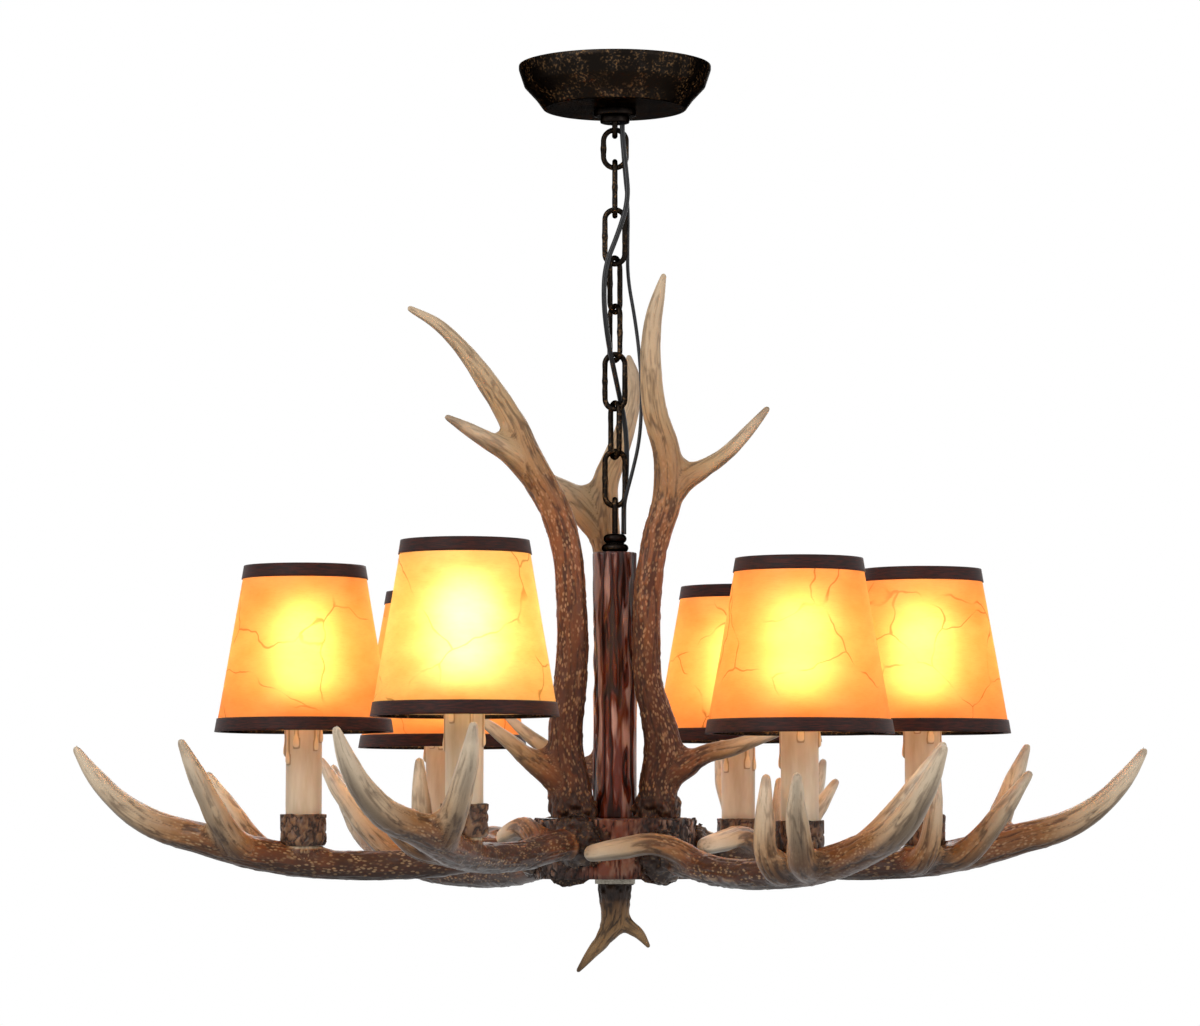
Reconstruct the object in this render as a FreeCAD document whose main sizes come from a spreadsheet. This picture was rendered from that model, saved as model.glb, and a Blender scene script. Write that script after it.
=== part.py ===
"""Antler chandelier with six clip-on shades, hung on a chain from a ceiling canopy.

Millimetres. The origin is the centre of the canopy on the ceiling, +Z is up, and the part hangs below.
-Y is the front. The antlers are resin castings: six equal arms that carry the candles, three uprights
and a small forked finial. Everything below the chain hangs on one threaded stem.
"""
import FreeCAD, Part
import math
import os

import Sketcher
from FreeCAD import Placement, Rotation, Vector

UP = Vector(0, 0, 1)
LIGHTS = range(1, 7)

# Driving sizes: alias, value, what it is.
SIZES = [
    ("canopy_rim_radius", 68.0, "canopy at the ceiling"),
    ("canopy_shoulder_radius", 64.0, "canopy where its bowl turns in"),
    ("canopy_step_radius", 55.5, "canopy above its foot"),
    ("canopy_foot_radius", 50.5, "flat underside of the canopy"),
    ("canopy_height", 31.0, "ceiling to underside"),
    ("canopy_lip", 3.0, "straight lip at the rim"),
    ("canopy_wall", 1.2, "spun steel"),
    ("bracket_length", 104.0, "crossbar in the canopy"),
    ("bracket_width", 22.0, "crossbar"),
    ("bracket_thickness", 2.0, "crossbar"),
    ("bracket_hole_spacing", 70.0, "ceiling screws, centre to centre"),
    ("bracket_hole_radius", 2.3, "ceiling screw holes"),
    ("ground_screw_radius", 2.0, "earth screw"),
    ("ground_screw_place", 23.0, "earth screw from the middle of the bar"),
    ("nipple_radius", 5.0, "threaded tube that holds the canopy"),
    ("nipple_bore", 3.6, "wireway in the tube"),
    ("nipple_length", 38.0, "from just under the ceiling"),
    ("nut_flat_radius", 9.5, "nut, to its corners"),
    ("nut_height", 4.0, "nut"),
    ("flange_radius", 15.0, "disc under the canopy"),
    ("flange_height", 5.0, "disc under the canopy"),
    ("collar_radius", 10.4, "screw collar under the disc"),
    ("collar_height", 5.0, "screw collar"),
    ("hook_wire", 4.0, "ceiling loop, wire diameter"),
    ("hook_width", 12.0, "ceiling loop, between its wire centres"),
    ("hook_drop", 9.0, "collar to the wire centre at the bottom of the loop"),
    ("terminal_length", 18.0, "terminal block under the crossbar"),
    ("terminal_width", 16.0, "terminal block"),
    ("terminal_height", 10.0, "terminal block"),
    ("terminal_place", 21.0, "terminal block, centre from the middle of the bar"),
    ("terminal_bore", 4.0, "wire entries, diameter"),
    ("link_wire", 4.0, "chain wire diameter"),
    ("link_width", 18.0, "chain link, outside"),
    ("link_length", 42.5, "chain link, outside"),
    ("first_link_width", 20.0, "short link under the ceiling loop, outside"),
    ("first_link_length", 31.0, "short link, outside"),
    ("link_gap", 0.3, "between the wires of two links"),
    ("eye_width", 10.0, "stem eye, between its wire centres"),
    ("eye_drop", 24.2, "top wire centre of the stem eye to the knob"),
    ("knob_radius", 9.5, "lower bead of the knob"),
    ("knob_neck", 6.8, "waist between the beads"),
    ("knob_top_radius", 8.2, "upper bead of the knob"),
    ("knob_height", 13.0, "knob"),
    ("stem_radius", 5.0, "threaded stem tube"),
    ("stem_bore", 3.5, "wireway in the stem"),
    ("stem_socket", 8.0, "stem screwed into the knob and the finial"),
    ("column_radius", 15.2, "bark column"),
    ("column_bore", 5.6, "column, round the stem"),
    ("column_length", 186.0, "knob to hub"),
    ("flute_radius", 2.6, "grooves down the column"),
    ("flute_bite", 1.1, "depth of the grooves"),
    ("hub_radius", 56.0, "bark ring that holds the arms"),
    ("hub_height", 42.0, "bark ring"),
    ("hub_wall", 7.0, "side of the ring"),
    ("hub_top", 6.0, "top of the ring"),
    ("plate_radius", 51.7, "steel plate in the bottom of the hub"),
    ("plate_thickness", 3.0, "steel plate"),
    ("washer_radius", 14.0, "washer under the plate"),
    ("washer_height", 3.5, "washer"),
    ("screw_radius", 2.4, "screws into the antlers"),
    ("screw_reach", 18.0, "screw inside an antler"),
    ("screw_head_radius", 4.5, "screws"),
    ("screw_head_height", 3.0, "screws"),
    ("arm_drop", 22.0, "hub top to the middle of an arm's root"),
    ("arm_scale", 1.0, "thickness of the arms, 1 as cast"),
    ("seat_radius", 11.5, "boss on an arm under its cup"),
    ("seat_height", 3.0, "arm root level to the top of the boss"),
    ("boss_depth", 13.0, "boss, into the beam"),
    ("burr_radius", 19.0, "knobbly burr of an arm, against the hub"),
    ("burr_length", 11.0, "burr, out from the hub"),
    ("light_ring_radius", 217.0, "axis to a candle"),
    ("light_turn_1", 5.0, "degrees, right"),
    ("light_turn_2", 65.0, "degrees, back right"),
    ("light_turn_3", 126.0, "degrees, back left"),
    ("light_turn_4", 185.0, "degrees, left"),
    ("light_turn_5", 243.0, "degrees, front left"),
    ("light_turn_6", 304.0, "degrees, front right"),
    ("light_rise_1", 0.0, "how far arm 1 sits above the others"),
    ("light_rise_2", -2.0, "arm 2"),
    ("light_rise_3", -7.0, "arm 3"),
    ("light_rise_4", 0.0, "arm 4"),
    ("light_rise_5", 6.0, "arm 5"),
    ("light_rise_6", -5.0, "arm 6"),
    ("cup_radius", 15.7, "bark cup, outside"),
    ("cup_height", 22.0, "bark cup"),
    ("cup_floor", 3.0, "bark cup"),
    ("sleeve_radius", 12.5, "candle sleeve, outside"),
    ("sleeve_wall", 1.3, "candle sleeve"),
    ("sleeve_length", 99.0, "candle sleeve"),
    ("holder_radius", 10.6, "lampholder"),
    ("holder_height", 40.0, "lampholder"),
    ("holder_socket_radius", 7.2, "lampholder, inside"),
    ("holder_socket_depth", 26.0, "lampholder, inside"),
    ("holder_sink", 2.0, "sleeve top to lampholder top"),
    ("lamp_tube_sink", 8.0, "lamp tube in the arm"),
    ("lamp_tube_screwed", 4.0, "lamp tube in the lampholder"),
    ("bulb_base_radius", 6.9, "screw base"),
    ("bulb_base_length", 25.0, "screw base"),
    ("bulb_neck_radius", 8.5, "glass at the base"),
    ("bulb_radius", 17.5, "glass at its widest"),
    ("bulb_belly", 30.0, "base to the widest glass"),
    ("bulb_length", 72.0, "glass"),
    ("shade_top_radius", 41.5, "parchment cone"),
    ("shade_bottom_radius", 61.5, "parchment cone"),
    ("shade_height", 115.0, "parchment cone"),
    ("shade_wall", 0.8, "parchment and its lining"),
    ("shade_drop", 23.0, "top of the sleeve to the bottom of the shade"),
    ("ribbon_width", 9.0, "ribbon at the top and bottom"),
    ("ribbon_thickness", 0.8, "ribbon"),
    ("ring_wire", 2.4, "shade rings and clip, wire diameter"),
    ("clip_gap", 0.3, "clip ring to the glass"),
    ("upright_ring_radius", 34.0, "axis to the foot of an upright"),
    ("supply_cord_diameter", 3.6, "flex"),
    ("earth_wire_diameter", 2.6, "earth wire"),
    ("fit_gap", 0.05, "running round pieces in their holes"),
    ("seat_gap", 0.2, "pieces beside each other"),
]

doc = FreeCAD.newDocument("AntlerChandelier")
sheet = doc.addObject("Spreadsheet::Sheet", "Sizes")
parts = []


def fill_sheet():
    """One row for each driving size: what it is, and its value under its alias."""
    for row, (alias, value, note) in enumerate(SIZES, start=1):
        sheet.set(f"A{row}", note)
        sheet.set(f"B{row}", str(value))
        sheet.setAlias(f"B{row}", alias)
    doc.recompute()


def v(expression):
    """The value of an expression on the sheet, as a plain number."""
    return float(sheet.evalExpression(expression))


def bind(thing, **properties):
    for name, expression in properties.items():
        thing.setExpression(name.replace("_base_", "Placement.Base."), expression)
    return thing


def sub_part(thing, label):
    """Names a finished piece and lists it for its file."""
    thing.Label = label
    parts.append(thing)
    return thing


# Levels, from the ceiling down.
CANOPY_Z = "(-Sizes.canopy_height)"
FLANGE_Z = f"({CANOPY_Z} - Sizes.flange_height)"
COLLAR_Z = f"({FLANGE_Z} - Sizes.collar_height)"
HOOK_Z = f"({COLLAR_Z} - Sizes.hook_drop)"
LINK_OVERLAP = "(2 * Sizes.link_wire + Sizes.link_gap)"
LINK_STEP = f"(Sizes.link_length - {LINK_OVERLAP})"
FIRST_STEP = f"(Sizes.first_link_length - {LINK_OVERLAP})"
LONG_LINKS = 7
CHAIN_TOP_Z = f"({HOOK_Z} + Sizes.link_wire + Sizes.link_gap)"
EYE_Z = f"({CHAIN_TOP_Z} - {FIRST_STEP} - {LONG_LINKS} * {LINK_STEP})"
KNOB_TOP_Z = f"({EYE_Z} - Sizes.eye_drop)"
KNOB_Z = f"({KNOB_TOP_Z} - Sizes.knob_height)"
HUB_TOP_Z = f"({KNOB_Z} - Sizes.column_length)"
HUB_Z = f"({HUB_TOP_Z} - Sizes.hub_height)"
WASHER_Z = f"({HUB_Z} - Sizes.washer_height)"
ROOT_Z = f"({HUB_TOP_Z} - Sizes.arm_drop)"
SEAT_Z = f"({ROOT_Z} + Sizes.seat_height)"


def light_x(number):
    return f"Sizes.light_ring_radius * cos(Sizes.light_turn_{number} * 1deg)"


def light_y(number):
    return f"Sizes.light_ring_radius * sin(Sizes.light_turn_{number} * 1deg)"


def above_seat(number, height):
    """A level on light number, so far above the top of its seat."""
    return f"{SEAT_Z} + Sizes.light_rise_{number} + {height}"


# Plain forms, each bound to the sheet.


def turned(name, outline, z, x="0", y="0"):
    """A body turned on its own vertical axis. The outline is (radius, height) expressions, anticlockwise."""
    body = doc.addObject("PartDesign::Body", name)
    sketch = body.newObject("Sketcher::SketchObject", name + "_outline")
    plane = next(o for o in body.Origin.OriginFeatures if o.Role == "XZ_Plane")
    sketch.AttachmentSupport = [(plane, "")]
    sketch.MapMode = "FlatFace"
    corners = [Vector(v(r), v(z_up), 0) for r, z_up in outline]
    count = len(corners)
    for i in range(count):
        sketch.addGeometry(Part.LineSegment(corners[i], corners[(i + 1) % count]), False)
    for i in range(count):
        sketch.addConstraint(Sketcher.Constraint("Coincident", i, 2, (i + 1) % count, 1))
    for i, (r, z_up) in enumerate(outline):
        for kind, size, axis in (("DistanceX", r, -2), ("DistanceY", z_up, -1)):
            if size == "0":
                sketch.addConstraint(Sketcher.Constraint("PointOnObject", i, 1, axis))
                continue
            number = sketch.addConstraint(Sketcher.Constraint(kind, -1, 1, i, 1, v(size)))
            sketch.setExpression(f"Constraints[{number}]", size)
    turn = body.newObject("PartDesign::Revolution", name + "_turn")
    turn.Profile = sketch
    turn.ReferenceAxis = (sketch, ["V_Axis"])
    turn.Angle = 360
    return bind(body, _base_x=x, _base_y=y, _base_z=z)


def cylinder(name, radius, height, z, x="0", y="0"):
    thing = doc.addObject("Part::Cylinder", name)
    return bind(thing, Radius=radius, Height=height, _base_x=x, _base_y=y, _base_z=z)


def cone(name, low_radius, high_radius, height, z, x="0", y="0"):
    thing = doc.addObject("Part::Cone", name)
    bind(thing, Radius1=low_radius, Radius2=high_radius, Height=height)
    return bind(thing, _base_x=x, _base_y=y, _base_z=z)


def ring(name, radius, wire_radius, z, x="0", y="0"):
    """A round wire ring that lies flat."""
    thing = doc.addObject("Part::Torus", name)
    return bind(thing, Radius1=radius, Radius2=wire_radius, _base_x=x, _base_y=y, _base_z=z)


def cut(name, base, tool):
    thing = doc.addObject("Part::Cut", name)
    thing.Base = base
    thing.Tool = tool
    return thing


def fuse(name, shapes):
    thing = doc.addObject("Part::MultiFuse", name)
    thing.Shapes = shapes
    return thing


def group(name, shapes):
    """Separate solids under one name."""
    thing = doc.addObject("Part::Compound", name)
    thing.Links = shapes
    return thing


def tube(name, radius, bore, height, z, x="0", y="0"):
    return turned(name, [(bore, "0"), (radius, "0"), (radius, height), (bore, height)], z, x, y)


def feature(name, shape, place=None):
    """A piece whose shape comes from the functions below."""
    thing = doc.addObject("Part::Feature", name)
    thing.Shape = shape
    if place is not None:
        thing.Placement = place
    return thing


def bow(name, radius, wire_radius, z, side):
    """Half a wire ring that stands in the XZ plane: side 1 is its upper half, -1 its lower half."""
    half = ring(name, radius, wire_radius, z)
    half.Angle3 = 180
    half.Placement.Rotation = Rotation(Vector(1, 0, 0), 90 * side)
    return half


# The canopy and what it holds.


def make_bracket():
    bar = doc.addObject("Part::Box", "bracket_bar")
    bind(bar, Length="Sizes.bracket_length", Width="Sizes.bracket_width", Height="Sizes.bracket_thickness")
    bind(bar, _base_x="-Sizes.bracket_length / 2", _base_y="-Sizes.bracket_width / 2")
    bind(bar, _base_z="-Sizes.bracket_thickness")
    depth = "3 * Sizes.bracket_thickness"
    low = "-2 * Sizes.bracket_thickness"
    half = "Sizes.bracket_hole_spacing / 2"
    holes = [
        cylinder("bracket_middle_hole", "Sizes.nipple_radius + Sizes.fit_gap", depth, low),
        cylinder("bracket_hole_1", "Sizes.bracket_hole_radius", depth, low, x=half),
        cylinder("bracket_hole_2", "Sizes.bracket_hole_radius", depth, low, x="-" + half),
        cylinder("bracket_ground_hole", "Sizes.ground_screw_radius + Sizes.fit_gap", depth, low,
                 x="-Sizes.ground_screw_place"),
    ]
    sub_part(cut("bracket", bar, fuse("bracket_holes", holes)), "ceiling_bracket")


def make_ground_screw():
    """Pan head under the bar, thread through it."""
    head = "Sizes.ground_screw_radius"
    outline = [
        ("0", "0"),
        (f"2 * {head}", "0"),
        (f"2 * {head}", head),
        (head, head),
        (head, f"{head} + Sizes.bracket_thickness"),
        ("0", f"{head} + Sizes.bracket_thickness"),
    ]
    z = f"-Sizes.bracket_thickness - {head}"
    sub_part(turned("screw", outline, z, x="-Sizes.ground_screw_place"), "ground_screw")


def make_canopy():
    nipple_hole = "Sizes.nipple_radius + Sizes.seat_gap"
    wall = "Sizes.canopy_wall"
    foot_rise = "Sizes.canopy_height * 0.22"
    shoulder_rise = "Sizes.canopy_height * 0.52"
    lip = "Sizes.canopy_height - Sizes.canopy_lip"
    outline = [
        (nipple_hole, "0"),
        ("Sizes.canopy_foot_radius", "0"),
        ("Sizes.canopy_step_radius", foot_rise),
        ("Sizes.canopy_shoulder_radius", shoulder_rise),
        ("Sizes.canopy_rim_radius", lip),
        ("Sizes.canopy_rim_radius", "Sizes.canopy_height"),
        (f"Sizes.canopy_rim_radius - {wall}", "Sizes.canopy_height"),
        (f"Sizes.canopy_rim_radius - {wall}", lip),
        (f"Sizes.canopy_shoulder_radius - {wall}", shoulder_rise),
        (f"Sizes.canopy_step_radius - {wall}", foot_rise),
        (f"Sizes.canopy_foot_radius - {wall}", wall),
        (nipple_hole, wall),
    ]
    sub_part(turned("canopy", outline, CANOPY_Z), "canopy_cover")
    nipple_z = "-Sizes.nipple_length - Sizes.seat_gap"
    nipple = tube("nipple", "Sizes.nipple_radius", "Sizes.nipple_bore", "Sizes.nipple_length", nipple_z)
    sub_part(nipple, "threaded_nipple")
    sub_part(tube("flange", "Sizes.flange_radius", nipple_hole, "Sizes.flange_height", FLANGE_Z),
             "canopy_flange")
    bore = "Sizes.nipple_radius + Sizes.fit_gap"
    bore_floor = f"{nipple_z} - {COLLAR_Z}"
    collar = [
        ("0", "0"),
        ("Sizes.collar_radius", "0"),
        ("Sizes.collar_radius", "Sizes.collar_height"),
        (bore, "Sizes.collar_height"),
        (bore, bore_floor),
        ("0", bore_floor),
    ]
    sub_part(turned("collar", collar, COLLAR_Z), "canopy_collar")


def make_bracket_nut():
    nut = doc.addObject("Part::Prism", "nut_hexagon")
    nut.Polygon = 6
    bind(nut, Circumradius="Sizes.nut_flat_radius", Height="Sizes.nut_height")
    z = "-Sizes.bracket_thickness - Sizes.nut_height"
    bind(nut, _base_z=z)
    bore = cylinder("nut_bore", "Sizes.nipple_radius + Sizes.fit_gap", "3 * Sizes.nut_height",
                    f"{z} - Sizes.nut_height")
    sub_part(cut("nut", nut, bore), "bracket_nut")


def make_canopy_loop():
    """A wire loop under the collar, edge-on from the front."""
    leg = "Sizes.hook_drop - Sizes.hook_width / 2"
    centre = f"{HOOK_Z} + Sizes.hook_width / 2"
    pieces = [bow("hook_bow", "Sizes.hook_width / 2", "Sizes.hook_wire / 2", "0", -1)]
    for side, name in ((1, "hook_leg_1"), (-1, "hook_leg_2")):
        pieces.append(cylinder(name, "Sizes.hook_wire / 2", leg, "0", x=f"{side} * Sizes.hook_width / 2"))
    hook = bind(fuse("hook", pieces), _base_z=centre)
    hook.Placement.Rotation = Rotation(UP, 90)
    sub_part(hook, "canopy_loop")


def make_terminal_block():
    """A block with three wire entries, screwed up against the crossbar."""
    block = doc.addObject("Part::Box", "terminal_body")
    bind(block, Length="Sizes.terminal_length", Width="Sizes.terminal_width", Height="Sizes.terminal_height")
    low = "-Sizes.bracket_thickness - Sizes.terminal_height"
    bind(block, _base_x="Sizes.terminal_place - Sizes.terminal_length / 2")
    bind(block, _base_y="-Sizes.terminal_width / 2", _base_z=low)
    entries = []
    for row in (-1, 0, 1):
        entry = doc.addObject("Part::Cylinder", f"wire_entry_{row + 2}")
        bind(entry, Radius="Sizes.terminal_bore / 2", Height="3 * Sizes.terminal_length")
        entry.Placement.Rotation = Rotation(Vector(0, 1, 0), 90)
        bind(entry, _base_x="Sizes.terminal_place - 1.5 * Sizes.terminal_length")
        bind(entry, _base_y=f"{row} * Sizes.terminal_width * 0.31")
        bind(entry, _base_z=f"{low} + Sizes.terminal_height / 2")
        entries.append(entry)
    sub_part(cut("terminal", block, fuse("wire_entries", entries)), "terminal_block")


# The chain, the cords and the stem eye.


def make_link(number, yaw, width="Sizes.link_width", length="Sizes.link_length"):
    """One stadium-shaped link, its plane turned by yaw about the vertical."""
    bend = f"({width} - Sizes.link_wire) / 2"
    wire = "Sizes.link_wire / 2"
    straight = f"({length} - {width})"
    name = f"link_{number}"
    pieces = [
        bow(name + "_top", bend, wire, f"{straight} / 2", 1),
        bow(name + "_bottom", bend, wire, f"-{straight} / 2", -1),
        cylinder(name + "_side_1", wire, straight, f"-{straight} / 2", x=bend),
        cylinder(name + "_side_2", wire, straight, f"-{straight} / 2", x="-" + bend),
    ]
    top = CHAIN_TOP_Z if number == 1 else f"{CHAIN_TOP_Z} - {FIRST_STEP} - {number - 2} * {LINK_STEP}"
    link = bind(fuse(name, pieces), _base_z=f"{top} - ({length} - Sizes.link_wire) / 2")
    link.Placement.Rotation = Rotation(UP, yaw)
    return link


def make_chain():
    """A short link and seven long ones, a little twisted: each stands 60 to 90 degrees to the next."""
    first = make_link(1, 0, "Sizes.first_link_width", "Sizes.first_link_length")
    sub_part(first, "chain_link_1")
    yaws = (90, 0, 60, 120, 0, 115, 0)
    links = [make_link(number, yaw) for number, yaw in enumerate(yaws, start=2)]
    sub_part(group("chain", links), "chain_links")


def make_stem_eye():
    """The closed wire loop on the knob, which hangs from the last link."""
    radius = "Sizes.eye_width / 2"
    wire = "Sizes.link_wire / 2"
    leg = f"Sizes.eye_drop - {radius}"
    pieces = [bow("eye_bow", radius, wire, leg, 1)]
    for side, name in ((1, "eye_leg_1"), (-1, "eye_leg_2")):
        pieces.append(cylinder(name, wire, leg, "0", x=f"{side} * {radius}"))
    eye = bind(fuse("eye", pieces), _base_z=KNOB_TOP_Z)
    eye.Placement.Rotation = Rotation(UP, 90)
    sub_part(eye, "stem_eye")


def cord_shape(label, points, diameter):
    """A tube along straight runs joined by arcs as large as the runs allow. Prints its bends."""
    edges = []
    start = points[0]
    radii = []
    for before, corner, after in zip(points, points[1:], points[2:]):
        arrive = (corner - before).normalize()
        leave = (after - corner).normalize()
        turn = arrive.getAngle(leave)
        setback = 0.45 * min((corner - before).Length, (after - corner).Length)
        radius = setback / math.tan(turn / 2)
        radii.append(radius)
        arc_start = corner - arrive * setback
        arc_end = corner + leave * setback
        inward = (leave - arrive).normalize()
        middle = corner + inward * (math.hypot(setback, radius) - radius)
        edges.append(Part.LineSegment(start, arc_start).toShape())
        edges.append(Part.Arc(arc_start, middle, arc_end).toShape())
        start = arc_end
    edges.append(Part.LineSegment(start, points[-1]).toShape())
    path = Part.Wire(edges)
    section = Part.Wire([Part.Circle(points[0], points[1] - points[0], diameter / 2).toShape()])
    shape = path.makePipeShell([section], True, False)
    expected = math.pi * (diameter / 2) ** 2 * path.Length
    print(f"{label}: length {path.Length:.1f}, volume {shape.Volume:.0f} of {expected:.0f},",
          "bend radii", [round(r) for r in radii])
    return shape


def make_cords():
    """Two cords beside the chain, from collar to knob. The supply cord runs through the sixth link."""
    top = v(COLLAR_Z)
    bottom = v(KNOB_TOP_Z)
    supply = [
        (5.2, -6.6, top), (5.2, -6.6, -54), (8, -9, -76), (9.5, -11, -98), (2, -12, -122), (-7, -13.5, -144),
        (-8, -14, -170), (-5, -11, -196), (-1.5, -6, -213), (3, 6.5, -233), (7, 9, -252), (8.5, 8.5, -272),
        (8, 7.5, -292), (6.3, 5.5, -308), (6.2, 1.5, -323), (6.2, 1.5, bottom),
    ]
    earth = [
        (5.2, 6.6, top), (5.2, 6.6, -54), (7, 9, -76), (9.5, 10, -100), (9, 11, -126), (9, 10.5, -150),
        (14, 6, -178), (17.5, 2, -206), (19, -1, -236), (17.5, -4, -266), (12, -7, -290), (7, -6.5, -308),
        (5.6, -2.6, -323), (5.6, -2.6, bottom),
    ]
    for label, points, diameter in (
        ("supply_cord", supply, v("Sizes.supply_cord_diameter")),
        ("earth_wire", earth, v("Sizes.earth_wire_diameter")),
    ):
        route = [Vector(*point) for point in points]
        sub_part(feature(label + "_tube", cord_shape(label, route, diameter)), label)


# The stem, the column and the hub.


def make_stem():
    bore = "Sizes.stem_radius + Sizes.fit_gap"
    knob = [
        (bore, "0"),
        ("Sizes.knob_radius", "0"),
        ("Sizes.knob_radius", "Sizes.knob_height * 0.35"),
        ("Sizes.knob_neck", "Sizes.knob_height * 0.46"),
        ("Sizes.knob_neck", "Sizes.knob_height * 0.54"),
        ("Sizes.knob_top_radius", "Sizes.knob_height * 0.65"),
        ("Sizes.knob_top_radius", "Sizes.knob_height"),
        ("0", "Sizes.knob_height"),
        ("0", "Sizes.stem_socket"),
        (bore, "Sizes.stem_socket"),
    ]
    sub_part(turned("knob", knob, KNOB_Z), "column_knob")
    low = f"({WASHER_Z} - Sizes.stem_socket + Sizes.seat_gap)"
    length = f"{KNOB_Z} + Sizes.stem_socket - Sizes.seat_gap - {low}"
    sub_part(tube("stem", "Sizes.stem_radius", "Sizes.stem_bore", length, low), "stem_tube")


def make_column():
    """A round post with grooves down its bark, pocketed round its rim."""
    body = doc.addObject("PartDesign::Body", "column")
    plane = next(o for o in body.Origin.OriginFeatures if o.Role == "XY_Plane")

    def circles(name, rings):
        sketch = body.newObject("Sketcher::SketchObject", name)
        sketch.AttachmentSupport = [(plane, "")]
        sketch.MapMode = "FlatFace"
        for number, (radius, x) in enumerate(rings):
            circle = Part.Circle(Vector(v(x), 0, 0), UP, v(radius))
            sketch.addGeometry(circle, False)
            index = sketch.addConstraint(Sketcher.Constraint("Radius", number, v(radius)))
            sketch.setExpression(f"Constraints[{index}]", radius)
            sketch.addConstraint(Sketcher.Constraint("PointOnObject", number, 3, -1))
            if x == "0":
                sketch.addConstraint(Sketcher.Constraint("PointOnObject", number, 3, -2))
                continue
            index = sketch.addConstraint(Sketcher.Constraint("DistanceX", -1, 1, number, 3, v(x)))
            sketch.setExpression(f"Constraints[{index}]", x)
        return sketch

    pad = body.newObject("PartDesign::Pad", "column_post")
    pad.Profile = circles("column_section", [("Sizes.column_radius", "0"), ("Sizes.column_bore", "0")])
    pad.setExpression("Length", "Sizes.column_length")
    doc.recompute()
    whole = body.Shape.Volume
    groove = body.newObject("PartDesign::Pocket", "column_groove")
    place = "Sizes.column_radius + Sizes.flute_radius - Sizes.flute_bite"
    groove.Profile = circles("groove_section", [("Sizes.flute_radius", place)])
    groove.Type = 1
    groove.Reversed = True
    pattern = body.newObject("PartDesign::PolarPattern", "column_grooves")
    pattern.Originals = [groove]
    pattern.Axis = (next(o for o in body.Origin.OriginFeatures if o.Role == "Z_Axis"), [""])
    pattern.Angle = 360
    pattern.Occurrences = 11
    body.Tip = pattern
    doc.recompute()
    if body.Shape.Volume >= whole:
        raise RuntimeError("the column's grooves cut nothing")
    bind(body, _base_z=HUB_TOP_Z)
    sub_part(body, "column")


def pointing(start, direction, radius, length):
    """A round bar from start along direction."""
    return Part.makeCylinder(radius, length, start, direction)


def arm_directions():
    """For each arm, its outward direction and the level of its root."""
    for number in LIGHTS:
        turn = math.radians(v(f"Sizes.light_turn_{number}"))
        yield Vector(math.cos(turn), math.sin(turn), 0), v(f"{ROOT_Z} + Sizes.light_rise_{number}")


def make_hub():
    bore = "Sizes.stem_radius + Sizes.seat_gap"
    rebate = "Sizes.plate_radius + Sizes.seat_gap"
    inside = "Sizes.hub_radius - Sizes.hub_wall"
    ceiling = "Sizes.hub_height - Sizes.hub_top"
    outline = [
        (rebate, "0"),
        ("Sizes.hub_radius", "0"),
        ("Sizes.hub_radius", "Sizes.hub_height"),
        (bore, "Sizes.hub_height"),
        (bore, ceiling),
        (inside, ceiling),
        (inside, "Sizes.plate_thickness"),
        (rebate, "Sizes.plate_thickness"),
    ]
    shell = turned("hub_shell", outline, HUB_Z)
    hole = v("Sizes.screw_radius + Sizes.seat_gap")
    wall = v("Sizes.hub_wall")
    holes = [
        pointing(out * (v("Sizes.hub_radius") - 2 * wall) + UP * level, out, hole, 3 * wall)
        for out, level in arm_directions()
    ]
    top = v("Sizes.hub_top")
    for foot in upright_feet():
        holes.append(pointing(foot - UP * 2 * top, UP, hole, 3 * top))
    sub_part(cut("hub", shell, feature("hub_holes", Part.makeCompound(holes))), "hub_ring")
    plate = tube("plate", "Sizes.plate_radius", bore, "Sizes.plate_thickness", HUB_Z)
    sub_part(plate, "hub_plate")
    sub_part(tube("washer", "Sizes.washer_radius", bore, "Sizes.washer_height", WASHER_Z), "finial_washer")


def screw_shape(seat, direction, under):
    """A screw whose head sits at seat and whose shaft runs on along direction, under being the wall."""
    shaft = pointing(seat, direction, v("Sizes.screw_radius"), under + v("Sizes.screw_reach"))
    head_height = v("Sizes.screw_head_height")
    head = pointing(seat - direction * head_height, direction, v("Sizes.screw_head_radius"), head_height)
    return head.fuse(shaft)


def make_screws():
    wall = v("Sizes.hub_wall")
    inside = v("Sizes.hub_radius - Sizes.seat_gap") - wall
    arm = [screw_shape(out * inside + UP * level, out, wall) for out, level in arm_directions()]
    sub_part(feature("arm_screw_set", Part.makeCompound(arm)), "arm_screws")
    top = v("Sizes.hub_top")
    upright = [screw_shape(foot - UP * top, UP, top) for foot in upright_feet()]
    sub_part(feature("upright_screw_set", Part.makeCompound(upright)), "upright_screws")


# The antlers.


def horn(sections):
    """A smooth tapering branch through round sections, each (x, y, z, radius), square to its run."""
    places = [Vector(*section[:3]) for section in sections]
    rings = []
    for i, section in enumerate(sections):
        run = places[min(i + 1, len(places) - 1)] - places[max(i - 1, 0)]
        circle = Part.Wire([Part.Circle(Vector(), UP, section[3]).toShape()])
        circle.Placement = Placement(places[i], Rotation(UP, run))
        rings.append(circle)
    return Part.makeLoft(rings, True, False)


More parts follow.
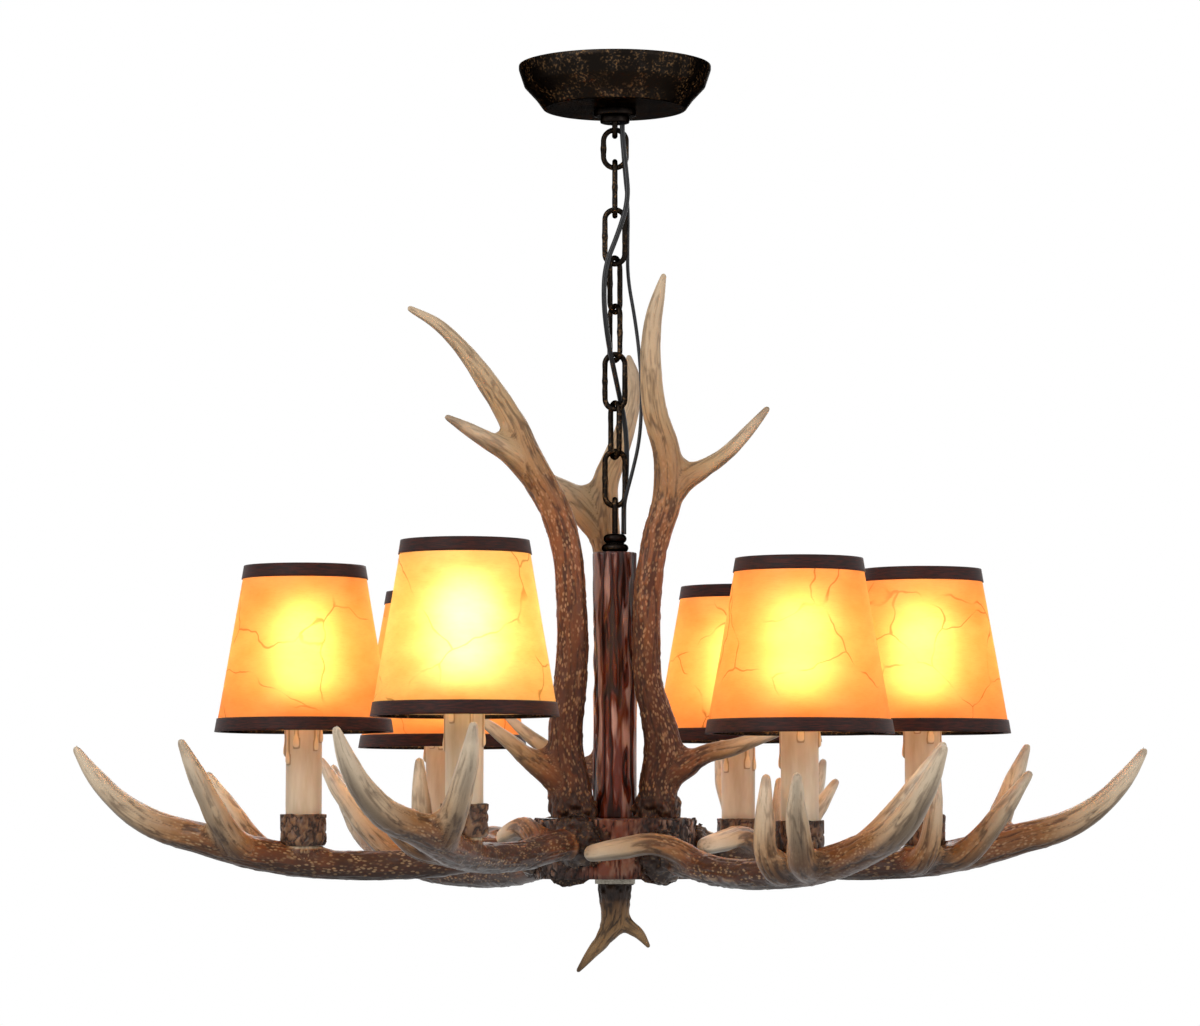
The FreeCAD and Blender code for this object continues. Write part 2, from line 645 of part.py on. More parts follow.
def arm_casting():
    """One arm, its root on the hub at +X and its middle level at 0: the beam, four tines and the burr."""
    hub = v("Sizes.hub_radius")
    light = v("Sizes.light_ring_radius")
    k = v("Sizes.arm_scale")
    beam = [
        (hub - 8, 0, 0, 10.5 * k),
        (hub + 24, 0, -2, 10.5 * k),
        ((hub + light) / 2 - 11, -3, -9, 10 * k),
        (light - 46, -5, -11, 10 * k),
        (light, 0, -8, 10.5 * k),
        (light + 38, 5, -1, 11 * k),
        (light + 70, 3, 8, 10.3 * k),
        (light + 101, -4, 17, 8.6 * k),
        (light + 128, -8, 34, 7 * k),
        (light + 145, -10, 52, 5.4 * k),
        (light + 157, -10, 69, 2.6 * k),
    ]
    fork_tine = [
        (light + 38, 4, -2, 8.5 * k),
        (light + 47, 12, 4, 8 * k),
        (light + 55, 22, 17, 6.8 * k),
        (light + 64, 33, 36, 5.6 * k),
        (light + 74, 43, 56, 4.4 * k),
        (light + 82, 50, 73, 2.4 * k),
    ]
    side_tine = [
        (light + 18, 0, -6, 8 * k),
        (light + 31, -13, 2, 7.2 * k),
        (light + 46, -26, 16, 6 * k),
        (light + 60, -38, 33, 4.8 * k),
        (light + 74, -48, 52, 2.3 * k),
    ]
    cup_tine = [
        (light - 12, 0, -9, 7.5 * k),
        (light - 5, -16, -8, 6.9 * k),
        (light, -29, 4, 6 * k),
        (light + 3, -33, 27, 4.8 * k),
        (light + 5, -33, 52, 2.4 * k),
    ]
    brow_tine = [
        (hub + 50, -1, -7, 8 * k),
        (hub + 41, -12, 4, 7.8 * k),
        (hub + 31, -23, 9, 7.6 * k),
        (hub + 14, -44, 6, 7 * k),
        (hub + 1, -58, 3, 4.6 * k),
    ]
    burr_radius = v("Sizes.burr_radius")
    burr_end = hub + v("Sizes.burr_length")
    burr = [
        (hub - 8, 0, 0, burr_radius * 0.9),
        (hub + 2, 0, 0, burr_radius),
        ((hub + burr_end) / 2 + 2, 0, 0, burr_radius * 0.95),
        (burr_end, 0, 0, burr_radius * 0.72),
    ]
    seat = v("Sizes.seat_height")
    depth = v("Sizes.boss_depth")
    boss = Part.makeCylinder(v("Sizes.seat_radius"), depth, Vector(light, 0, seat - depth))
    branches = [horn(branch) for branch in (fork_tine, side_tine, cup_tine, brow_tine, burr)]
    casting = horn(beam).multiFuse(branches + [boss])
    tall = v("Sizes.hub_height")
    socket = Part.makeCylinder(hub + v("Sizes.seat_gap"), 2 * tall, Vector(0, 0, -tall))
    pilot = pointing(Vector(hub - 8, 0, 0), Vector(1, 0, 0), v("Sizes.screw_radius + Sizes.fit_gap"),
                     v("Sizes.screw_reach") + 9)
    sink = v("Sizes.lamp_tube_sink") + 1
    tube_hole = v("Sizes.nipple_radius + Sizes.fit_gap")
    wireway = Part.makeCylinder(tube_hole, sink + 1, Vector(light, 0, seat - sink))
    spot_face = Part.makeCylinder(v("Sizes.cup_radius + Sizes.seat_gap"), v("Sizes.cup_height"),
                                  Vector(light, 0, seat))
    return casting.cut([socket, pilot, wireway, spot_face])


def make_arms():
    casting = arm_casting()
    for number in LIGHTS:
        place = Placement(
            Vector(0, 0, v(f"{ROOT_Z} + Sizes.light_rise_{number}")),
            Rotation(UP, v(f"Sizes.light_turn_{number}")),
        )
        sub_part(feature(f"arm_{number}", casting.copy(), place), f"antler_arm_{number}")


def upright_feet():
    """Where the uprights stand on the hub: front left, front right and back."""
    radius = v("Sizes.upright_ring_radius")
    level = v(HUB_TOP_Z)
    for turn in (210, 330, 90):
        angle = math.radians(turn)
        yield Vector(radius * math.cos(angle), radius * math.sin(angle), level)


def upright_shape(foot, trunk, branches):
    """An upright on its foot. Branch sections are given from the foot: x and y out, z up, radius."""
    burr = [(0, 0, 0, 15), (0, 0, 4, 17.2), (0, 0, 9, 16)]
    lines = [burr + trunk] + branches
    horns = [horn([(foot.x + x, foot.y + y, foot.z + z, r) for x, y, z, r in line]) for line in lines]
    pilot = pointing(foot - UP, UP, v("Sizes.screw_radius + Sizes.fit_gap"), v("Sizes.screw_reach") + 2)
    return horns[0].multiFuse(horns[1:]).cut(pilot)


def make_uprights():
    left, right, back = upright_feet()
    left_trunk = [
        (0, 0, 22, 12.6), (-5, -1, 52, 11.8), (-2, -2, 90, 11.2), (0, -3, 125, 10.6), (-1, -4, 153, 10.4),
        (-5, -5, 190, 10.3), (-14, -6, 218, 10.4), (-29, -7, 245, 10.8), (-41, -8, 273, 9.2),
        (-58, -10, 301, 7.2), (-79, -13, 329, 5.2), (-95, -15, 344, 3.9), (-113, -17, 354, 1.9),
    ]
    left_tines = [
        [(-32, -8, 241, 7.5), (-45, -17, 253, 6.6), (-60, -26, 262, 5.6), (-73, -32, 269, 4.3),
         (-86, -36, 276, 1.9)],
        [(-4, 0, 20, 9.5), (-14, -3, 29, 8.6), (-26, -7, 38, 7.2), (-44, -12, 53, 5.4), (-63, -16, 68, 2.8)],
    ]
    right_trunk = [
        (0, 0, 22, 12.8), (4, -1, 50, 12.4), (-1, -2, 73, 11), (-6, -3, 92, 9.8), (-7.5, -4, 125, 9.2),
        (-7, -5, 153, 9.2), (-1, -5, 194, 9.7), (7, -5, 224, 9.6), (6.5, -5, 254, 9.1), (-2, -5, 284, 8.3),
        (-4.5, -5, 315, 7.3), (-3, -5, 345, 5.9), (2, -6, 368, 3.6), (4.5, -7, 378, 1.8),
    ]
    right_tines = [
        [(7, -5, 222, 8.6), (20, -3, 236, 7.4), (33, 0, 244, 6), (51, 3, 257, 4.9), (66, 5, 273, 3.8),
         (77, 7, 286, 1.9)],
        [(3, 0, 26, 9.5), (17, -6, 34, 8), (33, -12, 44, 6.4), (53, -18, 49, 5.4), (67, -22, 54, 4.5),
         (83, -26, 59, 2.8)],
    ]
    back_trunk = [
        (-1, 2, 22, 12.6), (-4, 7, 51, 11.4), (-7, 9, 91, 10.4), (-8, 10, 131, 10), (-11, 11, 171, 10),
        (-14, 12, 196, 9.6), (-18, 13, 223, 10.2), (-15, 13, 245, 8.8), (-8, 12, 262, 7.6), (4, 10, 281, 6.6),
        (12, 9, 302, 5.4), (13, 8, 315, 4.4), (10, 7, 328, 1.9),
    ]
    back_tines = [
        [(-19, 13, 224, 7.6), (-29, 13, 236, 6.6), (-40, 14, 243, 5.4), (-50, 15, 250, 4.2), (-60, 16, 259, 1.9)],
        [(-4, 3, 26, 8.6), (-20, 9, 33, 7.6), (-42, 15, 45, 6), (-60, 20, 58, 4.6), (-76, 24, 72, 2.4)],
    ]
    sub_part(feature("left_upright", upright_shape(left, left_trunk, left_tines)), "upright_antler_left")
    sub_part(feature("right_upright", upright_shape(right, right_trunk, right_tines)), "upright_antler_right")
    sub_part(feature("back_upright", upright_shape(back, back_trunk, back_tines)), "upright_antler_back")


def make_finial():
    """A forked antler tip, point down, screwed on the end of the stem."""
    top = v(WASHER_Z)
    trunk = [
        (-25.5, 0, -60, 1.6), (-17, 0, -49, 3.6), (-8, 0, -38, 5.2), (-1.5, 0, -27, 7.6), (0, 0, -16, 9.6),
        (0, 0, -7, 12.6), (0, 0, -4, 13.4), (0, 0, 0, 12.6),
    ]
    tine = [(23, 0, -43, 1.6), (17, 0, -35, 3.4), (9, 0, -29, 4.8), (1, 0, -22, 6.4)]
    horns = [horn([(x, y, top + z, r) for x, y, z, r in line]) for line in (trunk, tine)]
    bore = v("Sizes.stem_radius + Sizes.fit_gap")
    depth = v("Sizes.stem_socket")
    socket = Part.makeCylinder(bore, depth + 1, Vector(0, 0, top - depth))
    sub_part(feature("finial", horns[0].fuse(horns[1]).cut(socket)), "finial_antler")


# The lights.

SLEEVE_TOP = "(Sizes.cup_floor + Sizes.sleeve_length)"
HOLDER_TOP = f"({SLEEVE_TOP} - Sizes.holder_sink)"
HOLDER_BASE = f"({HOLDER_TOP} - Sizes.holder_height)"
SHADE_BASE = f"({SLEEVE_TOP} - Sizes.shade_drop)"
SHADE_SLOPE = "((Sizes.shade_bottom_radius - Sizes.shade_top_radius) / Sizes.shade_height)"


def make_candle_pieces():
    """The cup, the sleeve, the lamp tube, the lampholder and the bulb of each light."""
    cups, tubes, holders, bulbs = [], [], [], []
    tube_hole = "Sizes.nipple_radius + Sizes.fit_gap"
    base = "(Sizes.bulb_base_length)"
    for number in LIGHTS:
        x = light_x(number)
        y = light_y(number)
        inside = "Sizes.sleeve_radius + Sizes.seat_gap"
        cup = [
            (tube_hole, "0"),
            ("Sizes.cup_radius - 1.2", "0"),
            ("Sizes.cup_radius", "Sizes.cup_height * 0.4"),
            ("Sizes.cup_radius", "Sizes.cup_height"),
            (inside, "Sizes.cup_height"),
            (inside, "Sizes.cup_floor"),
            (tube_hole, "Sizes.cup_floor"),
        ]
        cups.append(turned(f"cup_{number}", cup, above_seat(number, "0"), x, y))
        sleeve = tube(f"sleeve_{number}", "Sizes.sleeve_radius", "Sizes.sleeve_radius - Sizes.sleeve_wall",
                      "Sizes.sleeve_length", above_seat(number, "Sizes.cup_floor"), x, y)
        sub_part(sleeve, f"candle_sleeve_{number}")
        tube_top = f"{HOLDER_BASE} + Sizes.lamp_tube_screwed - Sizes.seat_gap"
        tubes.append(tube(f"lamp_tube_{number}", "Sizes.nipple_radius", "Sizes.nipple_bore",
                          f"{tube_top} + Sizes.lamp_tube_sink",
                          above_seat(number, "-Sizes.lamp_tube_sink"), x, y))
        cavity = "Sizes.holder_height - Sizes.holder_socket_depth"
        holder = [
            (tube_hole, "0"),
            ("Sizes.holder_radius", "0"),
            ("Sizes.holder_radius", "Sizes.holder_height"),
            ("Sizes.holder_socket_radius", "Sizes.holder_height"),
            ("Sizes.holder_socket_radius", cavity),
            ("0", cavity),
            ("0", "Sizes.lamp_tube_screwed"),
            (tube_hole, "Sizes.lamp_tube_screwed"),
        ]
        holders.append(turned(f"holder_{number}", holder, above_seat(number, HOLDER_BASE), x, y))
        belly = f"{base} + Sizes.bulb_belly"
        bulb = [
            ("0", "0"),
            ("Sizes.bulb_base_radius - 2", "0"),
            ("Sizes.bulb_base_radius", "3"),
            ("Sizes.bulb_base_radius", base),
            ("Sizes.bulb_neck_radius", base),
            ("Sizes.bulb_radius * 0.77", f"{base} + Sizes.bulb_belly * 0.35"),
            ("Sizes.bulb_radius * 0.96", f"{base} + Sizes.bulb_belly * 0.7"),
            ("Sizes.bulb_radius", belly),
            ("Sizes.bulb_radius * 0.93", f"{belly} + (Sizes.bulb_length - Sizes.bulb_belly) * 0.3"),
            ("Sizes.bulb_radius * 0.6", f"{belly} + (Sizes.bulb_length - Sizes.bulb_belly) * 0.65"),
            ("Sizes.bulb_radius * 0.2", f"{base} + Sizes.bulb_length - 3"),
            ("0", f"{base} + Sizes.bulb_length"),
        ]
        bulb_z = above_seat(number, f"{HOLDER_TOP} + Sizes.seat_gap - {base}")
        bulbs.append(turned(f"bulb_{number}", bulb, bulb_z, x, y))
    sub_part(group("cups", cups), "candle_cups")
    sub_part(group("lamp_tubes", tubes), "lamp_tubes")
    sub_part(group("holders", holders), "lampholders")
    sub_part(group("bulbs", bulbs), "bulbs")


def conical_band(name, low_radius, high_radius, wall, height, z, x, y):
    """A thin cone-shaped band, wall thick measured level."""
    outside = cone(name + "_outside", low_radius, high_radius, height, z, x, y)
    inside = cone(name + "_inside", f"{low_radius} - {wall}", f"{high_radius} - {wall}", height, z, x, y)
    return cut(name, outside, inside)


def make_shades():
    """Each shade is parchment with a ribbon and a wire ring at each end, on a clip that grips the bulb."""
    bottom = "Sizes.shade_bottom_radius"
    top = "Sizes.shade_top_radius"
    thick = "Sizes.ribbon_thickness"
    wire = "Sizes.ring_wire / 2"
    drop = f"Sizes.ribbon_width * {SHADE_SLOPE}"
    ring_radius = f"{bottom} - {wire} * {SHADE_SLOPE} - {wire} - Sizes.shade_wall - Sizes.clip_gap"
    for number in LIGHTS:
        x = light_x(number)
        y = light_y(number)
        low = above_seat(number, SHADE_BASE)
        high = f"{low} + Sizes.shade_height"
        skin = conical_band(f"skin_{number}", bottom, top, "Sizes.shade_wall", "Sizes.shade_height", low, x, y)
        sub_part(skin, f"shade_{number}")
        grow = f"{thick} + Sizes.fit_gap"
        trims = [
            conical_band(f"ribbon_low_{number}", f"{bottom} + {grow}", f"{bottom} + {grow} - {drop}", thick,
                         "Sizes.ribbon_width", low, x, y),
            conical_band(f"ribbon_high_{number}", f"{top} + {grow} + {drop}", f"{top} + {grow}", thick,
                         "Sizes.ribbon_width", f"{high} - Sizes.ribbon_width", x, y),
            ring(f"ring_low_{number}", ring_radius, wire, f"{low} + {wire}", x, y),
        ]
        sub_part(group(f"trim_{number}", trims), f"shade_trim_{number}")
        make_clip(number, x, y)


def make_clip(number, x, y):
    """The clip ring round the glass, three arms up to the top ring, in one wire form."""
    wire = v("Sizes.ring_wire / 2")
    clip_radius = v("Sizes.bulb_radius + Sizes.clip_gap") + wire
    clip_level = v(above_seat(number, f"{HOLDER_TOP} + Sizes.seat_gap + Sizes.bulb_belly"))
    top_level = v(above_seat(number, f"{SHADE_BASE} + Sizes.shade_height")) - wire
    top_radius = v("Sizes.shade_top_radius - Sizes.shade_wall - Sizes.seat_gap") - wire
    centre = Vector(v(x), v(y), 0)
    form = Part.makeTorus(clip_radius, wire, centre + UP * clip_level)
    rest = [Part.makeTorus(top_radius, wire, centre + UP * top_level)]
    for turn in (90, 210, 330):
        out = Vector(math.cos(math.radians(turn)), math.sin(math.radians(turn)), 0)
        low = centre + out * clip_radius + UP * clip_level
        high = centre + out * top_radius + UP * top_level
        rest.append(Part.makeCylinder(wire * 0.8, (high - low).Length, low, high - low))
    sub_part(feature(f"clip_{number}", form.multiFuse(rest)), f"shade_clip_{number}")


def write_parts():
    """Checks every object and writes each piece to its own file."""
    doc.recompute()
    for thing in doc.Objects:
        if "Invalid" in thing.State or "Error" in thing.State:
            raise RuntimeError(f"{thing.Name} is {thing.State}")
    os.makedirs("parts", exist_ok=True)
    for piece in parts:
        if piece.Shape.isNull() or not piece.Shape.isValid() or not piece.Shape.Solids:
            raise RuntimeError(f"{piece.Label} has no valid solid")
        piece.Shape.exportStep(f"parts/{piece.Label}.step")
    print(len(parts), "pieces")


fill_sheet()
make_bracket()
make_ground_screw()
make_canopy()
make_bracket_nut()
make_canopy_loop()
make_terminal_block()
make_chain()
make_cords()
make_stem_eye()
make_stem()
make_column()
make_hub()
make_screws()
make_arms()
make_uprights()
make_finial()
make_candle_pieces()
make_shades()
write_parts()
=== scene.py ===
"""Antler chandelier with six lit candle shades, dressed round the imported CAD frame.

Sizes are in millimetres and turned to metres when a mesh is made. The origin is the centre of the canopy
at the ceiling, +Z is up and -Y is the front. Places come from the frame's own nodes.
"""

import logging
import math
from collections.abc import Callable
from dataclasses import dataclass, field, replace
from enum import Enum
from functools import partial

import bpy
import numpy as np
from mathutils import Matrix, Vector


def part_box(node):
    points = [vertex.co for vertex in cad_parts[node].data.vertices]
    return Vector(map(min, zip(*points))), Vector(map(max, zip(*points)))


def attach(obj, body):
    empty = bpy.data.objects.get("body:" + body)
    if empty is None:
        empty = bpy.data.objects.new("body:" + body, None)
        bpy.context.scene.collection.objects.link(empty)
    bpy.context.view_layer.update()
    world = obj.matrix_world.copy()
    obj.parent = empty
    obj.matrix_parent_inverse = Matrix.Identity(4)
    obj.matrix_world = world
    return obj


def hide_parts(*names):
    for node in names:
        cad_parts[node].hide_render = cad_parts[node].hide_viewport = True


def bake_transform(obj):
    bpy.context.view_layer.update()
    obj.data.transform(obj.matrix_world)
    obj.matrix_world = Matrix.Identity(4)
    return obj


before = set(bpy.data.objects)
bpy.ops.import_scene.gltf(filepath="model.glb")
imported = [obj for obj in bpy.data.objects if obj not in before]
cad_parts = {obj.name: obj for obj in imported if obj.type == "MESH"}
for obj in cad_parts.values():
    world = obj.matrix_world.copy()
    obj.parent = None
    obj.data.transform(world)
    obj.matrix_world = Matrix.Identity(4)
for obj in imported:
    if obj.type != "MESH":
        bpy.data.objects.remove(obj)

log = logging.getLogger("chandelier")
MM = 0.001
UP = np.array([0.0, 0.0, 1.0])
LUMINAIRE = "luminaire"
LIGHTS = range(1, 7)

Tree = bpy.types.NodeTree
Socket = bpy.types.NodeSocket
Material = bpy.types.Material
Adder = Callable[..., Socket]
Sections = list[tuple[float, float, float, float]]
Points = tuple[tuple[float, float, float], ...]


class Slot(Enum):
    """Material slots."""

    BLACK = "blackened_steel"
    PLATED = "plated_steel"
    ANTLER = "antler_resin"
    BARK = "bark_resin"
    PLASTIC = "moulded_plastic"
    CORD = "cord_sheath"
    CANDLE = "candle_card"
    PARCHMENT = "parchment"
    RIBBON = "ribbon"
    BULB = "bulb_glass"


# ---------------------------------------------------------------- numbers


def linear(code: str) -> tuple[float, float, float, float]:
    """Turns an sRGB hex colour to linear light.

    Args:
        code: Six hex digits, such as "a08060".

    Returns:
        Red, green, blue and an alpha of 1.
    """
    parts = [int(code[i : i + 2], 16) / 255 for i in (0, 2, 4)]
    low = [p / 12.92 if p <= 0.04045 else ((p + 0.055) / 1.055) ** 2.4 for p in parts]
    return (*low, 1.0)


def smooth(values: np.ndarray, low: float, high: float) -> np.ndarray:
    """A smooth step: 0 at low, 1 at high, 3t^2 - 2t^3 between."""
    t = np.clip((values - low) / (high - low), 0, 1)
    return t * t * (3 - 2 * t)


def noise(points: np.ndarray, cell: float, seed: int = 0) -> np.ndarray:
    """Value noise: random numbers on a cubic lattice, blended smoothly between its corners.

    Args:
        points: Places, shape (..., 3).
        cell: Lattice spacing, in the same unit.
        seed: Chooses the random numbers.

    Returns:
        Numbers from -1 to 1, shape (...).
    """
    q = points / cell + 31.7 * (seed + 1)
    corner = np.floor(q).astype(np.int64)
    f = q - corner
    f = f * f * (3 - 2 * f)
    total = np.zeros(points.shape[:-1])
    for i, j, k in np.ndindex(2, 2, 2):
        x, y, z = corner[..., 0] + i, corner[..., 1] + j, corner[..., 2] + k
        mixed = (x * 73856093) ^ (y * 19349663) ^ (z * 83492791) ^ (seed * 265443576)
        mixed = (mixed ^ (mixed >> 13)) * 1274126177
        value = ((mixed ^ (mixed >> 16)) & 0xFFFF) / 32767.5 - 1
        share = f[..., 0] if i else 1 - f[..., 0]
        share = share * (f[..., 1] if j else 1 - f[..., 1])
        total += value * share * (f[..., 2] if k else 1 - f[..., 2])
    return total


def layered(points: np.ndarray, cell: float, seed: int = 0, layers: int = 3) -> np.ndarray:
    """Noise at several sizes: each layer is half as large in cell and in height as the one before."""
    total = np.zeros(points.shape[:-1])
    for layer in range(layers):
        total += noise(points, cell / 2**layer, seed + 7 * layer) / 2**layer
    return total / (2 - 2 ** (1 - layers))


def hermite(knots: np.ndarray, at: np.ndarray, values: np.ndarray) -> np.ndarray:
    """A smooth curve through values at knots: cubic pieces whose slopes come from their neighbours."""
    slope = np.gradient(values, knots, axis=0)
    i = np.clip(np.searchsorted(knots, at, side="right") - 1, 0, len(knots) - 2)
    h = (knots[i + 1] - knots[i])[:, None]
    t = (at - knots[i])[:, None] / h
    return (
        (2 * t**3 - 3 * t**2 + 1) * values[i]
        + (t**3 - 2 * t**2 + t) * h * slope[i]
        + (3 * t**2 - 2 * t**3) * values[i + 1]
        + (t**3 - t**2) * h * slope[i + 1]
    )


# ---------------------------------------------------------------- meshes


@dataclass
class Shell:
    """A surface being made: corners in millimetres, four-sided faces, and numbers stored at the corners."""

    corners: np.ndarray
    faces: np.ndarray
    marks: dict[str, np.ndarray] = field(default_factory=dict)
    finish: np.ndarray | None = None

    def outward(self) -> "Shell":
        """The same shell, its faces turned round if they face inwards, which makes its volume negative."""
        a, b, c, d = (self.corners[self.faces[:, i]] for i in range(4))
        if (a * (np.cross(b, c) + np.cross(c, d))).sum() < 0:
            self.faces = self.faces[:, ::-1]
        return self

    def from_axis(self) -> np.ndarray:
        """Distance of each corner from the vertical through the origin."""
        return np.linalg.norm(self.corners[:, :2], axis=1)

    def moved(self, x: float = 0, y: float = 0, z: float = 0) -> "Shell":
        """A copy shifted in space."""
        return replace(self, corners=self.corners + np.array([x, y, z]))

    def turned(self, degrees: float) -> "Shell":
        """A copy turned about the vertical through the origin."""
        c, s = math.cos(math.radians(degrees)), math.sin(math.radians(degrees))
        return replace(self, corners=self.corners @ np.array([[c, s, 0], [-s, c, 0], [0, 0, 1]]))

    def carved(self, out: np.ndarray, up: np.ndarray | float = 0.0) -> "Shell":
        """A copy whose corners are moved away from the vertical through the origin, and up."""
        corners = self.corners.copy()
        corners[:, :2] *= (1 + out / np.maximum(self.from_axis(), 1e-6))[:, None]
        corners[:, 2] += up
        return replace(self, corners=corners)


def joined(shells: list[Shell]) -> Shell:
    """Several shells as one, with the corner numbers of each shifted past the ones before."""
    starts = np.cumsum([0] + [len(shell.corners) for shell in shells[:-1]])
    faces = np.concatenate([shell.faces + start for shell, start in zip(shells, starts)])
    marks = {name: np.concatenate([shell.marks[name] for shell in shells]) for name in shells[0].marks}
    kinds = [np.zeros(len(s.faces), int) if s.finish is None else s.finish for s in shells]
    return Shell(np.concatenate([shell.corners for shell in shells]), faces, marks, np.concatenate(kinds))


def grid_faces(rows: int, columns: int, wrap_rows: bool) -> np.ndarray:
    """Faces of a grid whose columns close on themselves, and whose rows may.

    Args:
        rows: Rows of corners.
        columns: Corners in each row.
        wrap_rows: Whether the last row joins the first.

    Returns:
        Corner numbers, shape (faces, 4).
    """
    i, j = np.meshgrid(np.arange(rows if wrap_rows else rows - 1), np.arange(columns), indexing="ij")
    down, beside = (i + 1) % rows, (j + 1) % columns
    quads = np.stack([i * columns + j, i * columns + beside, down * columns + beside, down * columns + j], -1)
    return quads.reshape(-1, 4)


def resample(outline: np.ndarray, step: float, closed: bool) -> np.ndarray:
    """Evenly spaced points on each straight run of an outline, its own corners kept."""
    ends = np.roll(outline, -1, axis=0) if closed else outline[1:]
    starts = outline if closed else outline[:-1]
    runs = []
    for start, end in zip(starts, ends):
        count = max(1, round(float(np.linalg.norm(end - start)) / step))
        runs.append(start + (end - start) * (np.arange(count) / count)[:, None])
    if not closed:
        runs.append(outline[-1:])
    return np.concatenate(runs)


def rounded_corners(outline: np.ndarray, size: float) -> np.ndarray:
    """Cuts each corner of a closed outline with a small arc of three points, size from the corner."""
    before, after = np.roll(outline, 1, axis=0) - outline, np.roll(outline, -1, axis=0) - outline
    reach_in = np.minimum(size, 0.45 * np.linalg.norm(before, axis=1))[:, None]
    reach_out = np.minimum(size, 0.45 * np.linalg.norm(after, axis=1))[:, None]
    first = outline + before / np.linalg.norm(before, axis=1, keepdims=True) * reach_in
    last = outline + after / np.linalg.norm(after, axis=1, keepdims=True) * reach_out
    middle = 0.25 * first + 0.5 * outline + 0.25 * last
    return np.stack([first, middle, last], axis=1).reshape(-1, 2)


def capped(rings: np.ndarray, first: np.ndarray, last: np.ndarray) -> Shell:
    """Closes rings of corners, shape (rows, around, 3), with a middle corner at each end.

    Each cap's faces join the middle to two steps of the ring, so the number of steps is even.
    """
    count, around = rings.shape[:2]
    corners = np.concatenate([rings.reshape(-1, 3), [first, last]])
    j = np.arange(0, around, 2)
    end = (count - 1) * around
    start_cap = np.stack([0 * j + len(corners) - 2, (j + 2) % around, j + 1, j], -1)
    end_cap = np.stack([0 * j + len(corners) - 1, end + j, end + j + 1, end + (j + 2) % around], -1)
    return Shell(corners, np.concatenate([grid_faces(count, around, False), start_cap, end_cap])).outward()


def wall_outline(inner: float, outer: float, low: float, high: float) -> list[tuple[float, float]]:
    """The outline of a plain tube, for a lathe."""
    return [(inner, low), (outer, low), (outer, high), (inner, high)]


def shifted(start: float, *sections: tuple[float, float, float, float]) -> Sections:
    """Sections of (x, y, z, radius) whose x is given from a start."""
    return [(start + x, y, z, radius) for x, y, z, radius in sections]


def resin_marks(
    places: np.ndarray, bark: np.ndarray, ridge: np.ndarray, under: np.ndarray | float = 0.0
) -> dict[str, np.ndarray]:
    """The four marks that CastResin reads, from places in millimetres and a number for each of them."""
    return {"bark": bark, "ridge": ridge, "under": under + np.zeros(len(places)), "grain": places * MM}


def lathe(outline: list[tuple[float, float]], around: int, step: float, soften: float = 0.0) -> Shell:
    """An outline of (radius, height) carried round the vertical axis.

    A corner is (r cos a, r sin a, h) for each outline point (r, h) and each of the angles a. An outline that
    starts and ends on the axis makes a solid with poles, and any other closes on itself, as a ring does.

    Args:
        outline: Corners of the outline, in order.
        around: Number of angles, which is even.
        step: Spacing of points on the outline.
        soften: How far the corners are cut back into small rounds.

    Returns:
        The shell, facing outwards.
    """
    corners = np.array(outline, dtype=float)
    solid = corners[0, 0] == 0 and corners[-1, 0] == 0
    if soften:
        corners = rounded_corners(corners, soften)
    profile = resample(corners, step, closed=not solid)
    angle = np.linspace(0, 2 * np.pi, around, endpoint=False)
    r, h = profile[:, :1], profile[:, 1:]
    places = np.stack([r * np.cos(angle), r * np.sin(angle), h + 0 * angle], -1)
    if solid:
        return capped(places[1:-1], places[0, 0], places[-1, 0])
    return Shell(places.reshape(-1, 3), grid_faces(len(profile), around, True)).outward()


